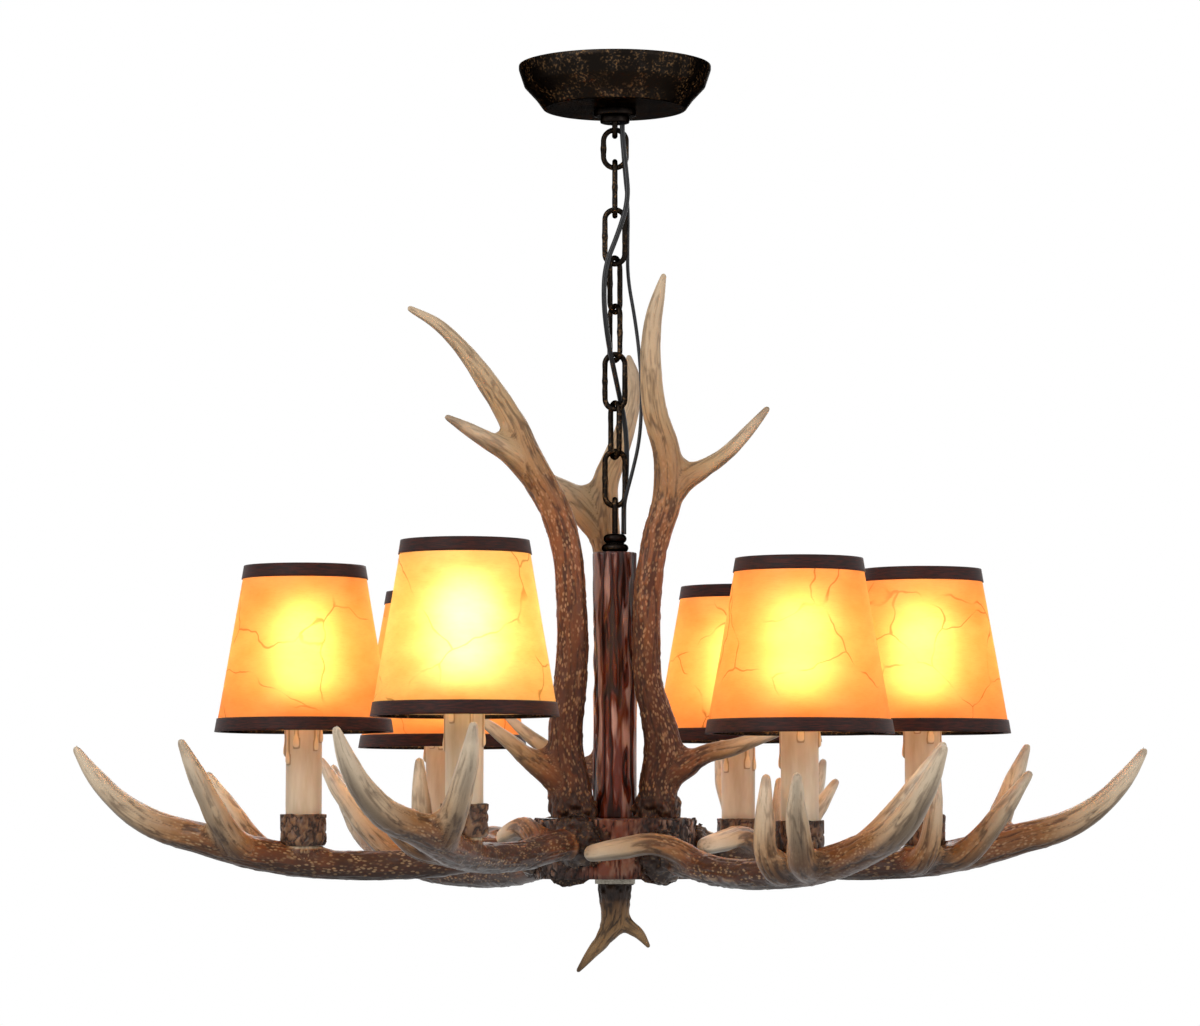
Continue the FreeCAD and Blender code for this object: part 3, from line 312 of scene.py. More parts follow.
@dataclass
class Route:
    """A line in space with a radius at each of its places, which are evenly spaced."""

    places: np.ndarray
    radii: np.ndarray

    @classmethod
    def through(cls, sections: Sections, step: float) -> "Route":
        """A smooth route through sections of (x, y, z, radius)."""
        data = np.array(sections, dtype=float)
        knots = np.concatenate([[0], np.cumsum(np.linalg.norm(np.diff(data[:, :3], axis=0), axis=1))])
        curve = hermite(knots, np.linspace(0, knots[-1], max(int(knots[-1] / step), 4)), data)
        return cls(curve[:, :3], np.maximum(curve[:, 3], 0.4))

    def directions(self) -> np.ndarray:
        """Unit directions of the run."""
        run = np.gradient(self.places, axis=0)
        return run / np.linalg.norm(run, axis=1, keepdims=True)

    def lengths(self) -> np.ndarray:
        """Length from the start to each place."""
        return np.concatenate([[0], np.cumsum(np.linalg.norm(np.diff(self.places, axis=0), axis=1))])

    def sides(self) -> tuple[np.ndarray, np.ndarray]:
        """Two directions square to the run and to each other, carried along it without twist."""
        run = self.directions()
        first = np.zeros_like(run)
        guess = UP if abs(run[0, 2]) < 0.8 else np.array([1.0, 0.0, 0.0])
        for i, direction in enumerate(run):
            guess = guess - direction * guess.dot(direction)
            guess = guess / np.linalg.norm(guess)
            first[i] = guess
        return first, np.cross(run, first)

    def nearest(self, corners: np.ndarray) -> tuple[np.ndarray, np.ndarray]:
        """For each corner, the number of the nearest place, and the distance to its round skin."""
        nearest, gap = np.empty(len(corners), dtype=np.int64), np.empty(len(corners))
        for start in range(0, len(corners), 8000):
            block = slice(start, start + 8000)
            distance = np.linalg.norm(corners[block, None] - self.places[None], axis=2) - self.radii
            nearest[block] = distance.argmin(axis=1)
            gap[block] = distance.min(axis=1)
        return nearest, gap

    def tube(self, around: int) -> Shell:
        """A round tube along the route, closed at its ends."""
        angle = np.linspace(0, 2 * np.pi, around, endpoint=False)
        one, two = self.sides()
        ring = np.cos(angle)[None, :, None] * one[:, None] + np.sin(angle)[None, :, None] * two[:, None]
        rings = self.places[:, None] + ring * self.radii[:, None, None]
        return capped(rings, self.places[0], self.places[-1])

    def domed(self, steps: int = 5) -> "Route":
        """The same route with a dome as long as the radius at its far end."""
        rise = np.sin(np.linspace(0, np.pi / 2, steps + 1)[1:])
        tail = self.places[-1] + self.directions()[-1] * (self.radii[-1] * rise)[:, None]
        thin = self.radii[-1] * np.sqrt(np.maximum(1 - rise**2, 0.01))
        return Route(np.concatenate([self.places, tail]), np.concatenate([self.radii, thin]))


def new_object(name: str, data: bpy.types.ID) -> bpy.types.Object:
    """An object that shows a mesh, curve, camera or lamp, linked to the scene."""
    made = bpy.data.objects.new(name, data)
    bpy.context.scene.collection.objects.link(made)
    return made


def final_mesh(made: bpy.types.Object) -> tuple[np.ndarray, np.ndarray, np.ndarray]:
    """Corners in metres, their normals, and corner numbers of the faces, with modifiers applied.

    The object is removed afterwards.
    """
    mesh = bpy.data.meshes.new_from_object(made.evaluated_get(bpy.context.evaluated_depsgraph_get()))
    corners, normals = np.empty(len(mesh.vertices) * 3), np.empty(len(mesh.vertices) * 3)
    mesh.vertices.foreach_get("co", corners)
    mesh.vertices.foreach_get("normal", normals)
    faces = np.empty(len(mesh.loops), dtype=np.int64)
    mesh.loops.foreach_get("vertex_index", faces)
    bpy.data.objects.remove(made)
    bpy.data.meshes.remove(mesh)
    return corners.reshape(-1, 3), normals.reshape(-1, 3), faces


def mesh_object(name: str, shell: Shell) -> bpy.types.Object:
    """Puts a shell into the scene as a smooth mesh, with its marks as attributes and its finish numbers."""
    mesh = bpy.data.meshes.new(name)
    mesh.from_pydata((shell.corners * MM).tolist(), [], shell.faces.tolist())
    mesh.validate()
    mesh.polygons.foreach_set("use_smooth", np.ones(len(mesh.polygons), dtype=bool))
    if shell.finish is not None and len(shell.finish) == len(mesh.polygons):
        mesh.polygons.foreach_set("material_index", shell.finish.astype(np.int32))
    for mark, values in shell.marks.items():
        kind, part = ("FLOAT", "value") if values.ndim == 1 else ("FLOAT_VECTOR", "vector")
        layer = mesh.attributes.new(mark, kind, "POINT")
        layer.data.foreach_set(part, values.astype(np.float32).ravel())
    mesh.update()
    return new_object(name, mesh)


def place_piece(
    name: str, node: str, shell: Shell, slot: Slot, *finishes: Material, body: str = LUMINAIRE
) -> None:
    """Makes a finished piece of a shell.

    Args:
        name: Piece name.
        node: CAD node that it replaces.
        shell: Its surface.
        slot: Material slot; not used.
        *finishes: Its materials, in the order of the shell's finish numbers.
        body: CAD body that carries it.
    """
    piece = mesh_object(name, shell)
    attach(piece, body)
    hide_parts(node)
    for finish in finishes:
        piece.data.materials.append(finish)
    log.info("%s: %d faces on %s", name, len(shell.faces), body)


def node_box(node: str) -> tuple[np.ndarray, np.ndarray]:
    """Lowest and highest corners of a CAD node, in millimetres."""
    low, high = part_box(node)
    return np.array(low) / MM, np.array(high) / MM


# ---------------------------------------------------------------- finishes

PLUS, TIMES, SCALED = {"operation": "ADD"}, {"operation": "MULTIPLY"}, {"operation": "MULTIPLY_ADD"}
LARGER = {"operation": "MAXIMUM"}
MIX = {"data_type": "RGBA"}
LOWER, UPPER, MIXED = 6, 7, 2  # the mix node's two colour inputs and its colour output


def add_node(
    tree: Tree, kind: str, settings: dict | None = None, links: dict | None = None, out: int | str = 0
) -> Socket | None:
    """Adds one shader node with its settings and links.

    Args:
        tree: Node tree that gets it.
        kind: Node type without its ShaderNode prefix.
        settings: Values by property or socket name, or socket number. A hex colour given to a socket is turned
            to linear, and "stops" is a colour ramp's list of (place, hex colour).
        links: Sockets to read from, by this node's socket name or number.
        out: Name or number of the output wanted.

    Returns:
        That output, or None for a node that has none.
    """
    node = tree.nodes.new("ShaderNode" + kind)
    for name, value in (settings or {}).items():
        if name == "stops":
            ramp = node.color_ramp
            while len(ramp.elements) < len(value):
                ramp.elements.new(1.0)
            for element, (place, code) in zip(ramp.elements, value):
                element.position = place
                element.color = linear(code)
        elif isinstance(name, str) and hasattr(node, name):
            setattr(node, name, value)
        else:
            node.inputs[name].default_value = linear(value) if isinstance(value, str) else value
    for name, source in (links or {}).items():
        tree.links.new(source, node.inputs[name])
    return node.outputs[out] if node.outputs else None


def cleared(owner: Material | bpy.types.World) -> Adder:
    """Empties the nodes of a material or world, and returns the function that adds one to them."""
    owner.use_nodes = True
    owner.node_tree.nodes.clear()
    return partial(add_node, owner.node_tree)


def span(low: float, high: float, most: float = 1.0, least: float = 0.0) -> dict:
    """Settings of a smooth step from least, where a number is at low, to most, where it is at high."""
    ends = {"From Min": low, "From Max": high, "To Min": least, "To Max": most}
    return {"interpolation_type": "SMOOTHSTEP", **ends}


def per_metre(size: float) -> float:
    """The scale of a texture whose features are so many millimetres across."""
    return 1 / (size * MM)


def patterned(
    add: Adder,
    size: float,
    detail: float = 2.0,
    squash: float = 1.0,
    shift: float = 0.0,
    place: Socket | None = None,
) -> Socket:
    """Noise whose patches are so many millimetres wide, drawn out along Z by squash.

    Args:
        add: Adds a node to the tree.
        size: Width of a patch.
        detail: Finer layers.
        squash: Above 1 draws the patches out along Z, below 1 along X and Y.
        shift: Moves the pattern, to make another of the same kind.
        place: Where the pattern is read, if not at the object's own places.

    Returns:
        A number of about 0.3 to 0.7.
    """
    if place is None:
        place = add("TexCoord", out="Object")
    stretch = {"Scale": (1.0, 1.0, 1 / squash), "Location": (shift, 0, 0)}
    mapped = add("Mapping", stretch, {"Vector": place})
    settings = {"Scale": per_metre(size), "Detail": detail, "Roughness": 0.55}
    return add("TexNoise", settings, {"Vector": mapped}, "Fac")


def laid_over(
    add: Adder,
    under: Socket,
    code: str,
    source: Socket,
    low: float,
    high: float,
    most: float = 1.0,
    how: str = "MIX",
) -> Socket:
    """A colour laid over another where a pattern is high.

    Args:
        add: Adds a node to the tree.
        under: The colour underneath.
        code: The colour on top, in hex.
        source: The pattern.
        low: Pattern value at which the top colour starts.
        high: Pattern value from which it is full. Below low, the pattern works the other way round.
        most: Its share where it is full.
        how: Blend type.

    Returns:
        The blended colour.
    """
    share = add("MapRange", span(low, high, most), {"Value": source})
    return add("Mix", MIX | {"blend_type": how, UPPER: code}, {0: share, LOWER: under}, MIXED)


@dataclass(frozen=True)
class Finish:
    """What a surface is made of. Each kind wires its own shader."""

    name: str

    def wire(self, add: Adder) -> Socket:
        """Makes the nodes, and returns the shader's socket."""
        raise NotImplementedError

    def build(self) -> Material:
        """The material."""
        material = bpy.data.materials.new(self.name)
        add = cleared(material)
        add("OutputMaterial", links={"Surface": self.wire(add)})
        return material


@dataclass(frozen=True)
class CastResin(Finish):
    """Polyresin cast in a mould, painted in layers and dry-brushed.

    The eye sees dark paint left in the grooves, pale paint caught on small pearls and high places, fine lines
    along the grain, a soft gloss from the wax on top, and painted shade that darkens the undersides. Reads four
    marks: bark runs from 0 at a tip to 1 at a root, ridge is the relief from -1 to 1, under is 1 on undersides
    and sets where the painted shade goes, and grain is a place (across, across, along) that follows the branch.
    """

    bare_to_bark: tuple[tuple[float, str], ...]
    groove: str
    crest: str
    crest_share: float = 0.6
    crest_from: float = 0.25
    # Colour and share of the painted shade on undersides.
    under: str = "1E120C"
    underside_shade_share: float = 0.5
    blotch: float = 22.0
    blotch_share: float = 0.3
    drawn_out: float = 4.0
    lines: float = 0.3
    line_width: float = 1.9
    brushed: float = 7.0
    pearl: float = 1.9
    pearl_share: float = 0.0
    pearl_patch: float = 9.0
    roughness: float = 0.5
    dust: str = "8C8078"
    grit: float = 1.1
    grit_height: float = 0.25

    def wire(self, add: Adder) -> Socket:
        """Ramp along the antler, fine lines, dark grooves, pale crests and pearls, painted shade on undersides, and
        grit.
        """
        relief, bark, below = (
            add("Attribute", {"attribute_name": name}, out="Fac") for name in ("ridge", "bark", "under")
        )
        run = add("Attribute", {"attribute_name": "grain"}, out="Vector")
        blotches = patterned(add, self.blotch, 3.0, 2.0, place=run)
        centred = SCALED | {1: self.blotch_share, 2: -self.blotch_share / 2}
        along = add("Math", PLUS, {0: bark, 1: add("Math", centred, {0: blotches})})
        body = add("ValToRGB", {"stops": self.bare_to_bark}, {"Fac": along})
        fine = patterned(add, self.line_width, 3.0, 5.0 * self.drawn_out, 0.3, run)
        body = laid_over(add, body, self.groove, fine, 0.5, 0.66, self.lines)
        body = laid_over(add, body, self.groove, relief, -0.05, -0.75, 0.85)
        strokes = patterned(add, self.brushed, 2.0, self.drawn_out, 0.7, run)
        caught = add("MapRange", span(0.4, 0.6), {"Value": strokes})
        high = add("MapRange", span(self.crest_from, 0.95, self.crest_share), {"Value": relief})
        high = add("Math", TIMES, {0: high, 1: caught})
        body = add("Mix", MIX | {UPPER: self.crest}, {0: high, LOWER: body}, MIXED)
        pearls = add("MapRange", span(0.25, 0.7, self.pearl_share), {"Value": bark})
        pearls = add("Math", TIMES, {0: self.pearls(add, run), 1: pearls})
        body = add("Mix", MIX | {UPPER: self.crest}, {0: pearls, LOWER: body}, MIXED)
        # Painted shade: undersides, where the under mark is high, are darkened.
        body = laid_over(add, body, self.under, below, 0.35, 1.0, self.underside_shade_share)
        grit = patterned(add, self.grit, 2.0)
        body = laid_over(add, body, self.dust, grit, 0.35, 0.75, 0.18, "SOFT_LIGHT")
        worn = add("MapRange", span(-0.6, 0.9, -0.14), {"Value": relief})
        gloss = add("Math", PLUS | {1: self.roughness}, {0: worn})
        height = add("Math", PLUS, {0: grit, 1: pearls})
        bump = {"Strength": 0.5, "Distance": self.grit_height * MM}
        links = {"Base Color": body, "Roughness": gloss, "Normal": add("Bump", bump, {"Height": height})}
        return add("BsdfPrincipled", {"Specular IOR Level": 0.28, "IOR": 1.5}, links)

    def pearls(self, add: Adder, run: Socket) -> Socket:
        """Small grains drawn out along the branch, some left out where a wider noise is low."""
        drawn = add("Mapping", {"Scale": (1.0, 1.0, 0.5)}, {"Vector": run})
        cells = add("TexVoronoi", {"Scale": per_metre(self.pearl)}, {"Vector": drawn}, "Distance")
        grains = add("MapRange", span(0.5, 0.2), {"Value": cells})
        wide = patterned(add, self.pearl_patch, 2.0, 1.5, 0.9, run)
        where = add("MapRange", span(0.34, 0.58), {"Value": wide})
        return add("Math", TIMES, {0: grains, 1: where})


@dataclass(frozen=True)
class WroughtSteel(Finish):
    """Steel with a brushed-on black finish that lets bronze show through in specks."""

    base: str = "1A1613"
    speck: str = "8A6A48"
    speck_size: float = 1.8
    speck_share: float = 0.6
    speck_patch: float = 14.0
    edge: str = "4A4440"
    worn: str = "3A3634"
    roughness: float = 0.42

    def wire(self, add: Adder) -> Socket:
        """Black with gathered bronze specks, worn grey in wide patches, and a slightly uneven surface."""
        specks, wide = patterned(add, self.speck_size, 3.0), patterned(add, self.speck_patch, 2.0)
        gathered = add("MapRange", span(0.36, 0.62, self.speck_share), {"Value": wide})
        sharp = add("MapRange", span(0.5, 0.7), {"Value": specks})
        shown = add("Math", TIMES, {0: gathered, 1: sharp})
        body = add("Mix", MIX | {LOWER: self.base, UPPER: self.speck}, {0: shown}, MIXED)
        body = laid_over(add, body, self.worn, wide, 0.45, 0.75, 0.25)
        uneven = span(0.35, 0.65, self.roughness + 0.08, self.roughness - 0.08)
        gloss = add("MapRange", uneven, {"Value": specks})
        normal = add("Bump", {"Strength": 0.35, "Distance": 0.3 * MM}, {"Height": specks})
        links = {"Base Color": body, "Roughness": gloss, "Normal": normal}
        return add("BsdfPrincipled", {"Metallic": 1.0, "Specular Tint": self.edge}, links)


@dataclass(frozen=True)
class PlatedSteel(Finish):
    """Zinc or brass plate on stamped steel: bright, with fine drawn streaks and dull spots."""

    light: str = "B9B2A4"
    dull: str = "857D70"
    roughness: float = 0.3

    def wire(self, add: Adder) -> Socket:
        """Two close greys in streaks, rougher in the darker one."""
        streaks = patterned(add, 1.6, 3.0, 0.15)
        body = add("ValToRGB", {"stops": ((0.35, self.dull), (0.65, self.light))}, {"Fac": streaks})
        spots = span(0.7, 0.3, self.roughness + 0.25, self.roughness)
        gloss = add("MapRange", spots, {"Value": streaks})
        return add("BsdfPrincipled", {"Metallic": 1.0}, {"Base Color": body, "Roughness": gloss})


@dataclass(frozen=True)
class MouldedPlastic(Finish):
    """Moulded plastic, such as a black lampholder or a cord's sheath: one colour, faint flow marks."""

    dark: str = "101014"
    pale: str = "2A2A32"
    flow: float = 6.0
    roughness: float = 0.38

    def wire(self, add: Adder) -> Socket:
        """Two near colours in soft clouds, with a little unevenness."""
        clouds = patterned(add, self.flow, 2.0)
        body = add("ValToRGB", {"stops": ((0.35, self.dark), (0.7, self.pale))}, {"Fac": clouds})
        normal = add("Bump", {"Strength": 0.2, "Distance": 0.1 * MM}, {"Height": clouds})
        settings = {"Roughness": self.roughness, "IOR": 1.47, "Specular IOR Level": 0.3}
        return add("BsdfPrincipled", settings, {"Base Color": body, "Normal": normal})


@dataclass(frozen=True)
class WaxedCard(Finish):
    """Card candle sleeve dipped in tinted wax: satin, with the lamp's warm glow painted on near the top.

    Reads two marks: drip is how proud the wax stands, from 0 to 1, and rise the height up the sleeve.
    """

    wax: str = "CFC0A6"
    shade: str = "B8A488"
    # Painted glow of the lamp on the upper sleeve.
    lit: str = "D8AC78"
    run: str = "E6CDA4"
    # Painted shade along the edges of the wax runs.
    edge: str = "94724C"

    def wire(self, add: Adder) -> Socket:
        """Upright clouds of two wax tones, a painted amber glow of the lamp towards the top, and paler runs edged
        with painted shade.
        """
        drip, rise = (add("Attribute", {"attribute_name": name}, out="Fac") for name in ("drip", "rise"))
        clouds = patterned(add, 9.0, 3.0, 5.0)
        body = add("ValToRGB", {"stops": ((0.3, self.shade), (0.62, self.wax))}, {"Fac": clouds})
        # Painted shade: a darker rim where each wax run meets the card.
        body = laid_over(add, body, self.edge, drip, 0.02, 0.2, 0.75)
        body = laid_over(add, body, self.run, drip, 0.35, 0.7)
        # Painted lamp glow: amber laid over the top of the sleeve.
        body = laid_over(add, body, self.lit, rise, 0.72, 1.0, 0.85)
        fine = patterned(add, 1.5, 2.0)
        normal = add("Bump", {"Strength": 0.2, "Distance": 0.15 * MM}, {"Height": fine})
        settings = {"Roughness": 0.42, "Subsurface Weight": 0.15, "Subsurface Scale": 3 * MM, "IOR": 1.44}
        return add("BsdfPrincipled", settings, {"Base Color": body, "Normal": normal})


@dataclass(frozen=True)
class Parchment(Finish):
    """Lacquered parchment in orange: lets the lamp glow through, clearer in front of the bulb.

    The eye sees an amber glow with a yellow heart, brown veins like those of a hide, and a faint level grain.
    """

    deep: str = "FF9454"
    light: str = "FFA868"
    heart: str = "FFE48A"
    vein: str = "8A4A14"
    clear_share: float = 0.34
    coat_share: float = 0.14
    vein_cell: float = 64.0
    vein_bend: float = 34.0
    bend_by: float = 26.0

    def wire(self, add: Adder) -> Socket:
        """A translucent sheet, mixed with a clouded clear one and a thin gloss."""
        clouds = patterned(add, 26.0, 4.0, 0.5)
        body = add("ValToRGB", {"stops": ((0.34, self.deep), (0.66, self.light))}, {"Fac": clouds})
        body = laid_over(add, body, self.vein, patterned(add, 5.0, 3.0, 0.12), 0.45, 0.75, 0.22)
        lines = self.veins(add)
        body = add("Mix", MIX | {UPPER: self.vein}, {0: lines, LOWER: body}, MIXED)
        glow = add("Mix", MIX | {LOWER: self.heart, UPPER: self.vein}, {0: lines}, MIXED)
        sheet = add("BsdfTranslucent", links={"Color": body})
        clear = add("BsdfRefraction", {"Roughness": 0.86, "IOR": 1.5}, {"Color": glow})
        lit = add("MixShader", {0: self.clear_share}, {1: sheet, 2: clear})
        coat = add("BsdfPrincipled", {"Roughness": 0.4}, {"Base Color": body})
        return add("MixShader", {0: self.coat_share}, {1: lit, 2: coat})

    def veins(self, add: Adder) -> Socket:
        """Thin lines along the edges of bent cells, broken up by a wide noise."""
        place = add("TexCoord", out="Object")
        wide = {"Scale": per_metre(self.vein_bend), "Detail": 2.5}
        bend = add("TexNoise", wide, {"Vector": place}, "Color")
        centred = SCALED | {1: (self.bend_by * MM,) * 3, 2: (-self.bend_by * MM / 2,) * 3}
        offset = add("VectorMath", centred, {0: bend})
        bent = add("VectorMath", PLUS, {0: place, 1: offset})
        cells = {"feature": "DISTANCE_TO_EDGE", "Scale": per_metre(self.vein_cell)}
        edge = add("TexVoronoi", cells, {"Vector": bent}, "Distance")
        line = add("MapRange", span(0.013, 0.002, 0.6), {"Value": edge})
        broken = patterned(add, self.vein_bend, 1.0, 1.0, 0.4)
        shown = add("MapRange", span(0.4, 0.56), {"Value": broken})
        return add("Math", TIMES, {0: line, 1: shown})


@dataclass(frozen=True)
class ShadeLining(Finish):
    """The shade's thin clear lining, which scatters some of the lamp's light and passes the rest."""

    warm: str = "FFDDB0"
    pale: str = "FFE9C8"
    passes: float = 0.65

    def wire(self, add: Adder) -> Socket:
        """Clear and milky, mixed."""
        clouds = patterned(add, 20.0, 2.0)
        milk = add("ValToRGB", {"stops": ((0.3, self.warm), (0.7, self.pale))}, {"Fac": clouds})
        milky = add("BsdfDiffuse", links={"Color": milk})
        return add("MixShader", {0: self.passes}, {1: milky, 2: add("BsdfTransparent")})


@dataclass(frozen=True)
class SatinRibbon(Finish):
    """Dark brown woven ribbon with a satin sheen, its weft running up and down in fine ribs."""

    dark: str = "1C0C09"
    warm: str = "42180E"

    def wire(self, add: Adder) -> Socket:
        """Dark brown, redder in streaks, with fine ribs drawn as coarse as they need to show."""
        streaks = patterned(add, 8.0, 3.0, 0.1)
        body = add("ValToRGB", {"stops": ((0.38, self.dark), (0.72, self.warm))}, {"Fac": streaks})
        ribs = patterned(add, 0.9, 1.0, 6.0)
        normal = add("Bump", {"Strength": 0.4, "Distance": 0.2 * MM}, {"Height": ribs})
        settings = {"Roughness": 0.6, "Specular IOR Level": 0.2, "Sheen Weight": 0.05, "Sheen Roughness": 0.4}
        return add("BsdfPrincipled", settings, {"Base Color": body, "Normal": normal})


@dataclass(frozen=True)
class LitGlass(Finish):
    """Frosted glass of a lit bulb: an even warm white light, clouded a little by the frosting."""

    glow: str = "FFE6BC"
    edge: str = "FFD494"
    strength: float = 13.0

    def wire(self, add: Adder) -> Socket:
        """Warm white emission in two close tones."""
        clouds = patterned(add, 6.0, 2.0)
        light = add("ValToRGB", {"stops": ((0.3, self.edge), (0.6, self.glow))}, {"Fac": clouds})
        settings = {"Roughness": 0.35, "IOR": 1.5, "Emission Strength": self.strength}
        return add("BsdfPrincipled", settings, {"Base Color": light, "Emission Color": light})


HORN = ((0.0, "A28C74"), (0.06, "C8B092"), (0.3, "B6966E"), (0.5, "987048"), (0.72, "7E4C2C"), (1.0, "4A2816"))
ARM_HORN = ((0.0, "A8947E"), (0.06, "D2C0A6"), (0.35, "BEA484"), (0.6, "94683F"), (0.8, "6E3E20"), (1.0, "3A2014"))
DARK_HORN = ((0.0, "5E482E"), (0.2, "94744E"), (0.55, "846440"), (0.85, "664830"), (1.0, "3A261A"))
COLUMN_BARK = ((0.0, "7E3A26"), (0.5, "5E2616"), (1.0, "3E180E"))
# The hub's ramp runs from its painted lit front (0) to its painted shaded sides (1).
HUB_BARK = ((0.0, "7E4634"), (0.4, "503024"), (1.0, "2C1E1A"))
CUP_BARK = ((0.0, "6E4E38"), (0.5, "5A3E2C"), (1.0, "402C20"))


class Palette:
    """Every material of the chandelier, made once."""

    def __init__(self) -> None:
        """Builds the materials."""
        upright = CastResin("antler_resin_upright", HORN, "341C10", "C49A70", 0.4, 0.3, lines=0.35, pearl_share=0.5)
        arm = CastResin("antler_resin_arm", ARM_HORN, "3A2214", "CCA87C", 0.35, 0.3, "1C100A", 0.7,
                        pearl_share=0.45, roughness=0.42)
        finial = CastResin("antler_resin_finial", DARK_HORN, "1E120C", "A88A66", lines=0.45)
        column = CastResin("bark_resin_column", COLUMN_BARK, "0E0504", "D0A698", 0.9, 0.35, drawn_out=6.0,
                           roughness=0.34)
        hub = CastResin("bark_resin_hub", HUB_BARK, "100907", "A07C66", drawn_out=2.0)
        cup = CastResin("bark_resin_cup", CUP_BARK, "1C120C", "967452", 0.5, 0.4, blotch=12.0, drawn_out=1.0)
        self.upright, self.arm, self.finial = upright.build(), arm.build(), finial.build()
        self.column, self.hub, self.cup = column.build(), hub.build(), cup.build()
        self.black = WroughtSteel("blackened_steel").build()
        self.knob = WroughtSteel("blackened_steel_knob", "1A1614", "4A3A2C", 1.6, 0.4, roughness=0.36).build()
        self.plated = PlatedSteel("zinc_plated_steel").build()
        self.brass = PlatedSteel("brass_cap", "C8A860", "96783C", 0.32).build()
        self.plastic = MouldedPlastic("phenolic_moulding").build()
        self.cord = MouldedPlastic("pvc_cord_sheath", "0A0A0C", "1A1A1E", 9.0, 0.36).build()
        self.candle = WaxedCard("waxed_candle_card").build()
        self.parchment = Parchment("lacquered_parchment").build()
        # A paler, clearer copy of the parchment, for one shade painted as more brightly lit than the rest.
        pale = Parchment("lacquered_parchment_brighter_lit", "FFB86C", "FFD488", "FFF2B0", "A07030", 0.45)
        self.brighter_lit_parchment = pale.build()
        self.lining = ShadeLining("shade_lining").build()
        self.ribbon = SatinRibbon("satin_ribbon").build()
        self.glass = LitGlass("frosted_lit_glass").build()


# ---------------------------------------------------------------- places


@dataclass
class Light:
    """One light's place, read from its sleeve and its shade."""

    number: int
    x: float
    y: float
    sleeve_low: float
    sleeve_high: float
    sleeve_radius: float
    shade_low: float
    shade_high: float
    shade_radius: float
    cup_floor: float = 3.0
    seat_height: float = 3.0

    @classmethod
    def from_frame(cls, number: int) -> "Light":
        """Reads the light of that number from the frame."""
        low, high = node_box(f"candle_sleeve_{number}")
        shade_low, shade_high = node_box(f"shade_{number}")
        x, y = (low[0] + high[0]) / 2, (low[1] + high[1]) / 2
        radius, wide = (high[0] - low[0]) / 2, (shade_high[0] - shade_low[0]) / 2
        return cls(number, x, y, low[2], high[2], radius, shade_low[2], shade_high[2], wide)

    @property
    def turn(self) -> float:
        """Bearing of the light from the axis, in degrees."""
        return math.degrees(math.atan2(self.y, self.x))

    @property
    def ring(self) -> float:
        """Distance from the axis."""
        return math.hypot(self.x, self.y)

    @property
    def cup_low(self) -> float:
        """Level of its cup's underside, on the seat."""
        return self.sleeve_low - self.cup_floor

    @property
    def body(self) -> str:
        """The body of its shade."""
        return f"shade_on_light_{self.number}"


# ---------------------------------------------------------------- antlers


@dataclass
class Branch:
    """A branch of an antler.

    Sections are (x, y, z, radius). base is how much bark its root has, from 0 to 1, and reach the distance
    from its tip over which bare horn turns to that bark.
    """

    sections: Sections
    base: float = 1.0
    reach: float = 170.0


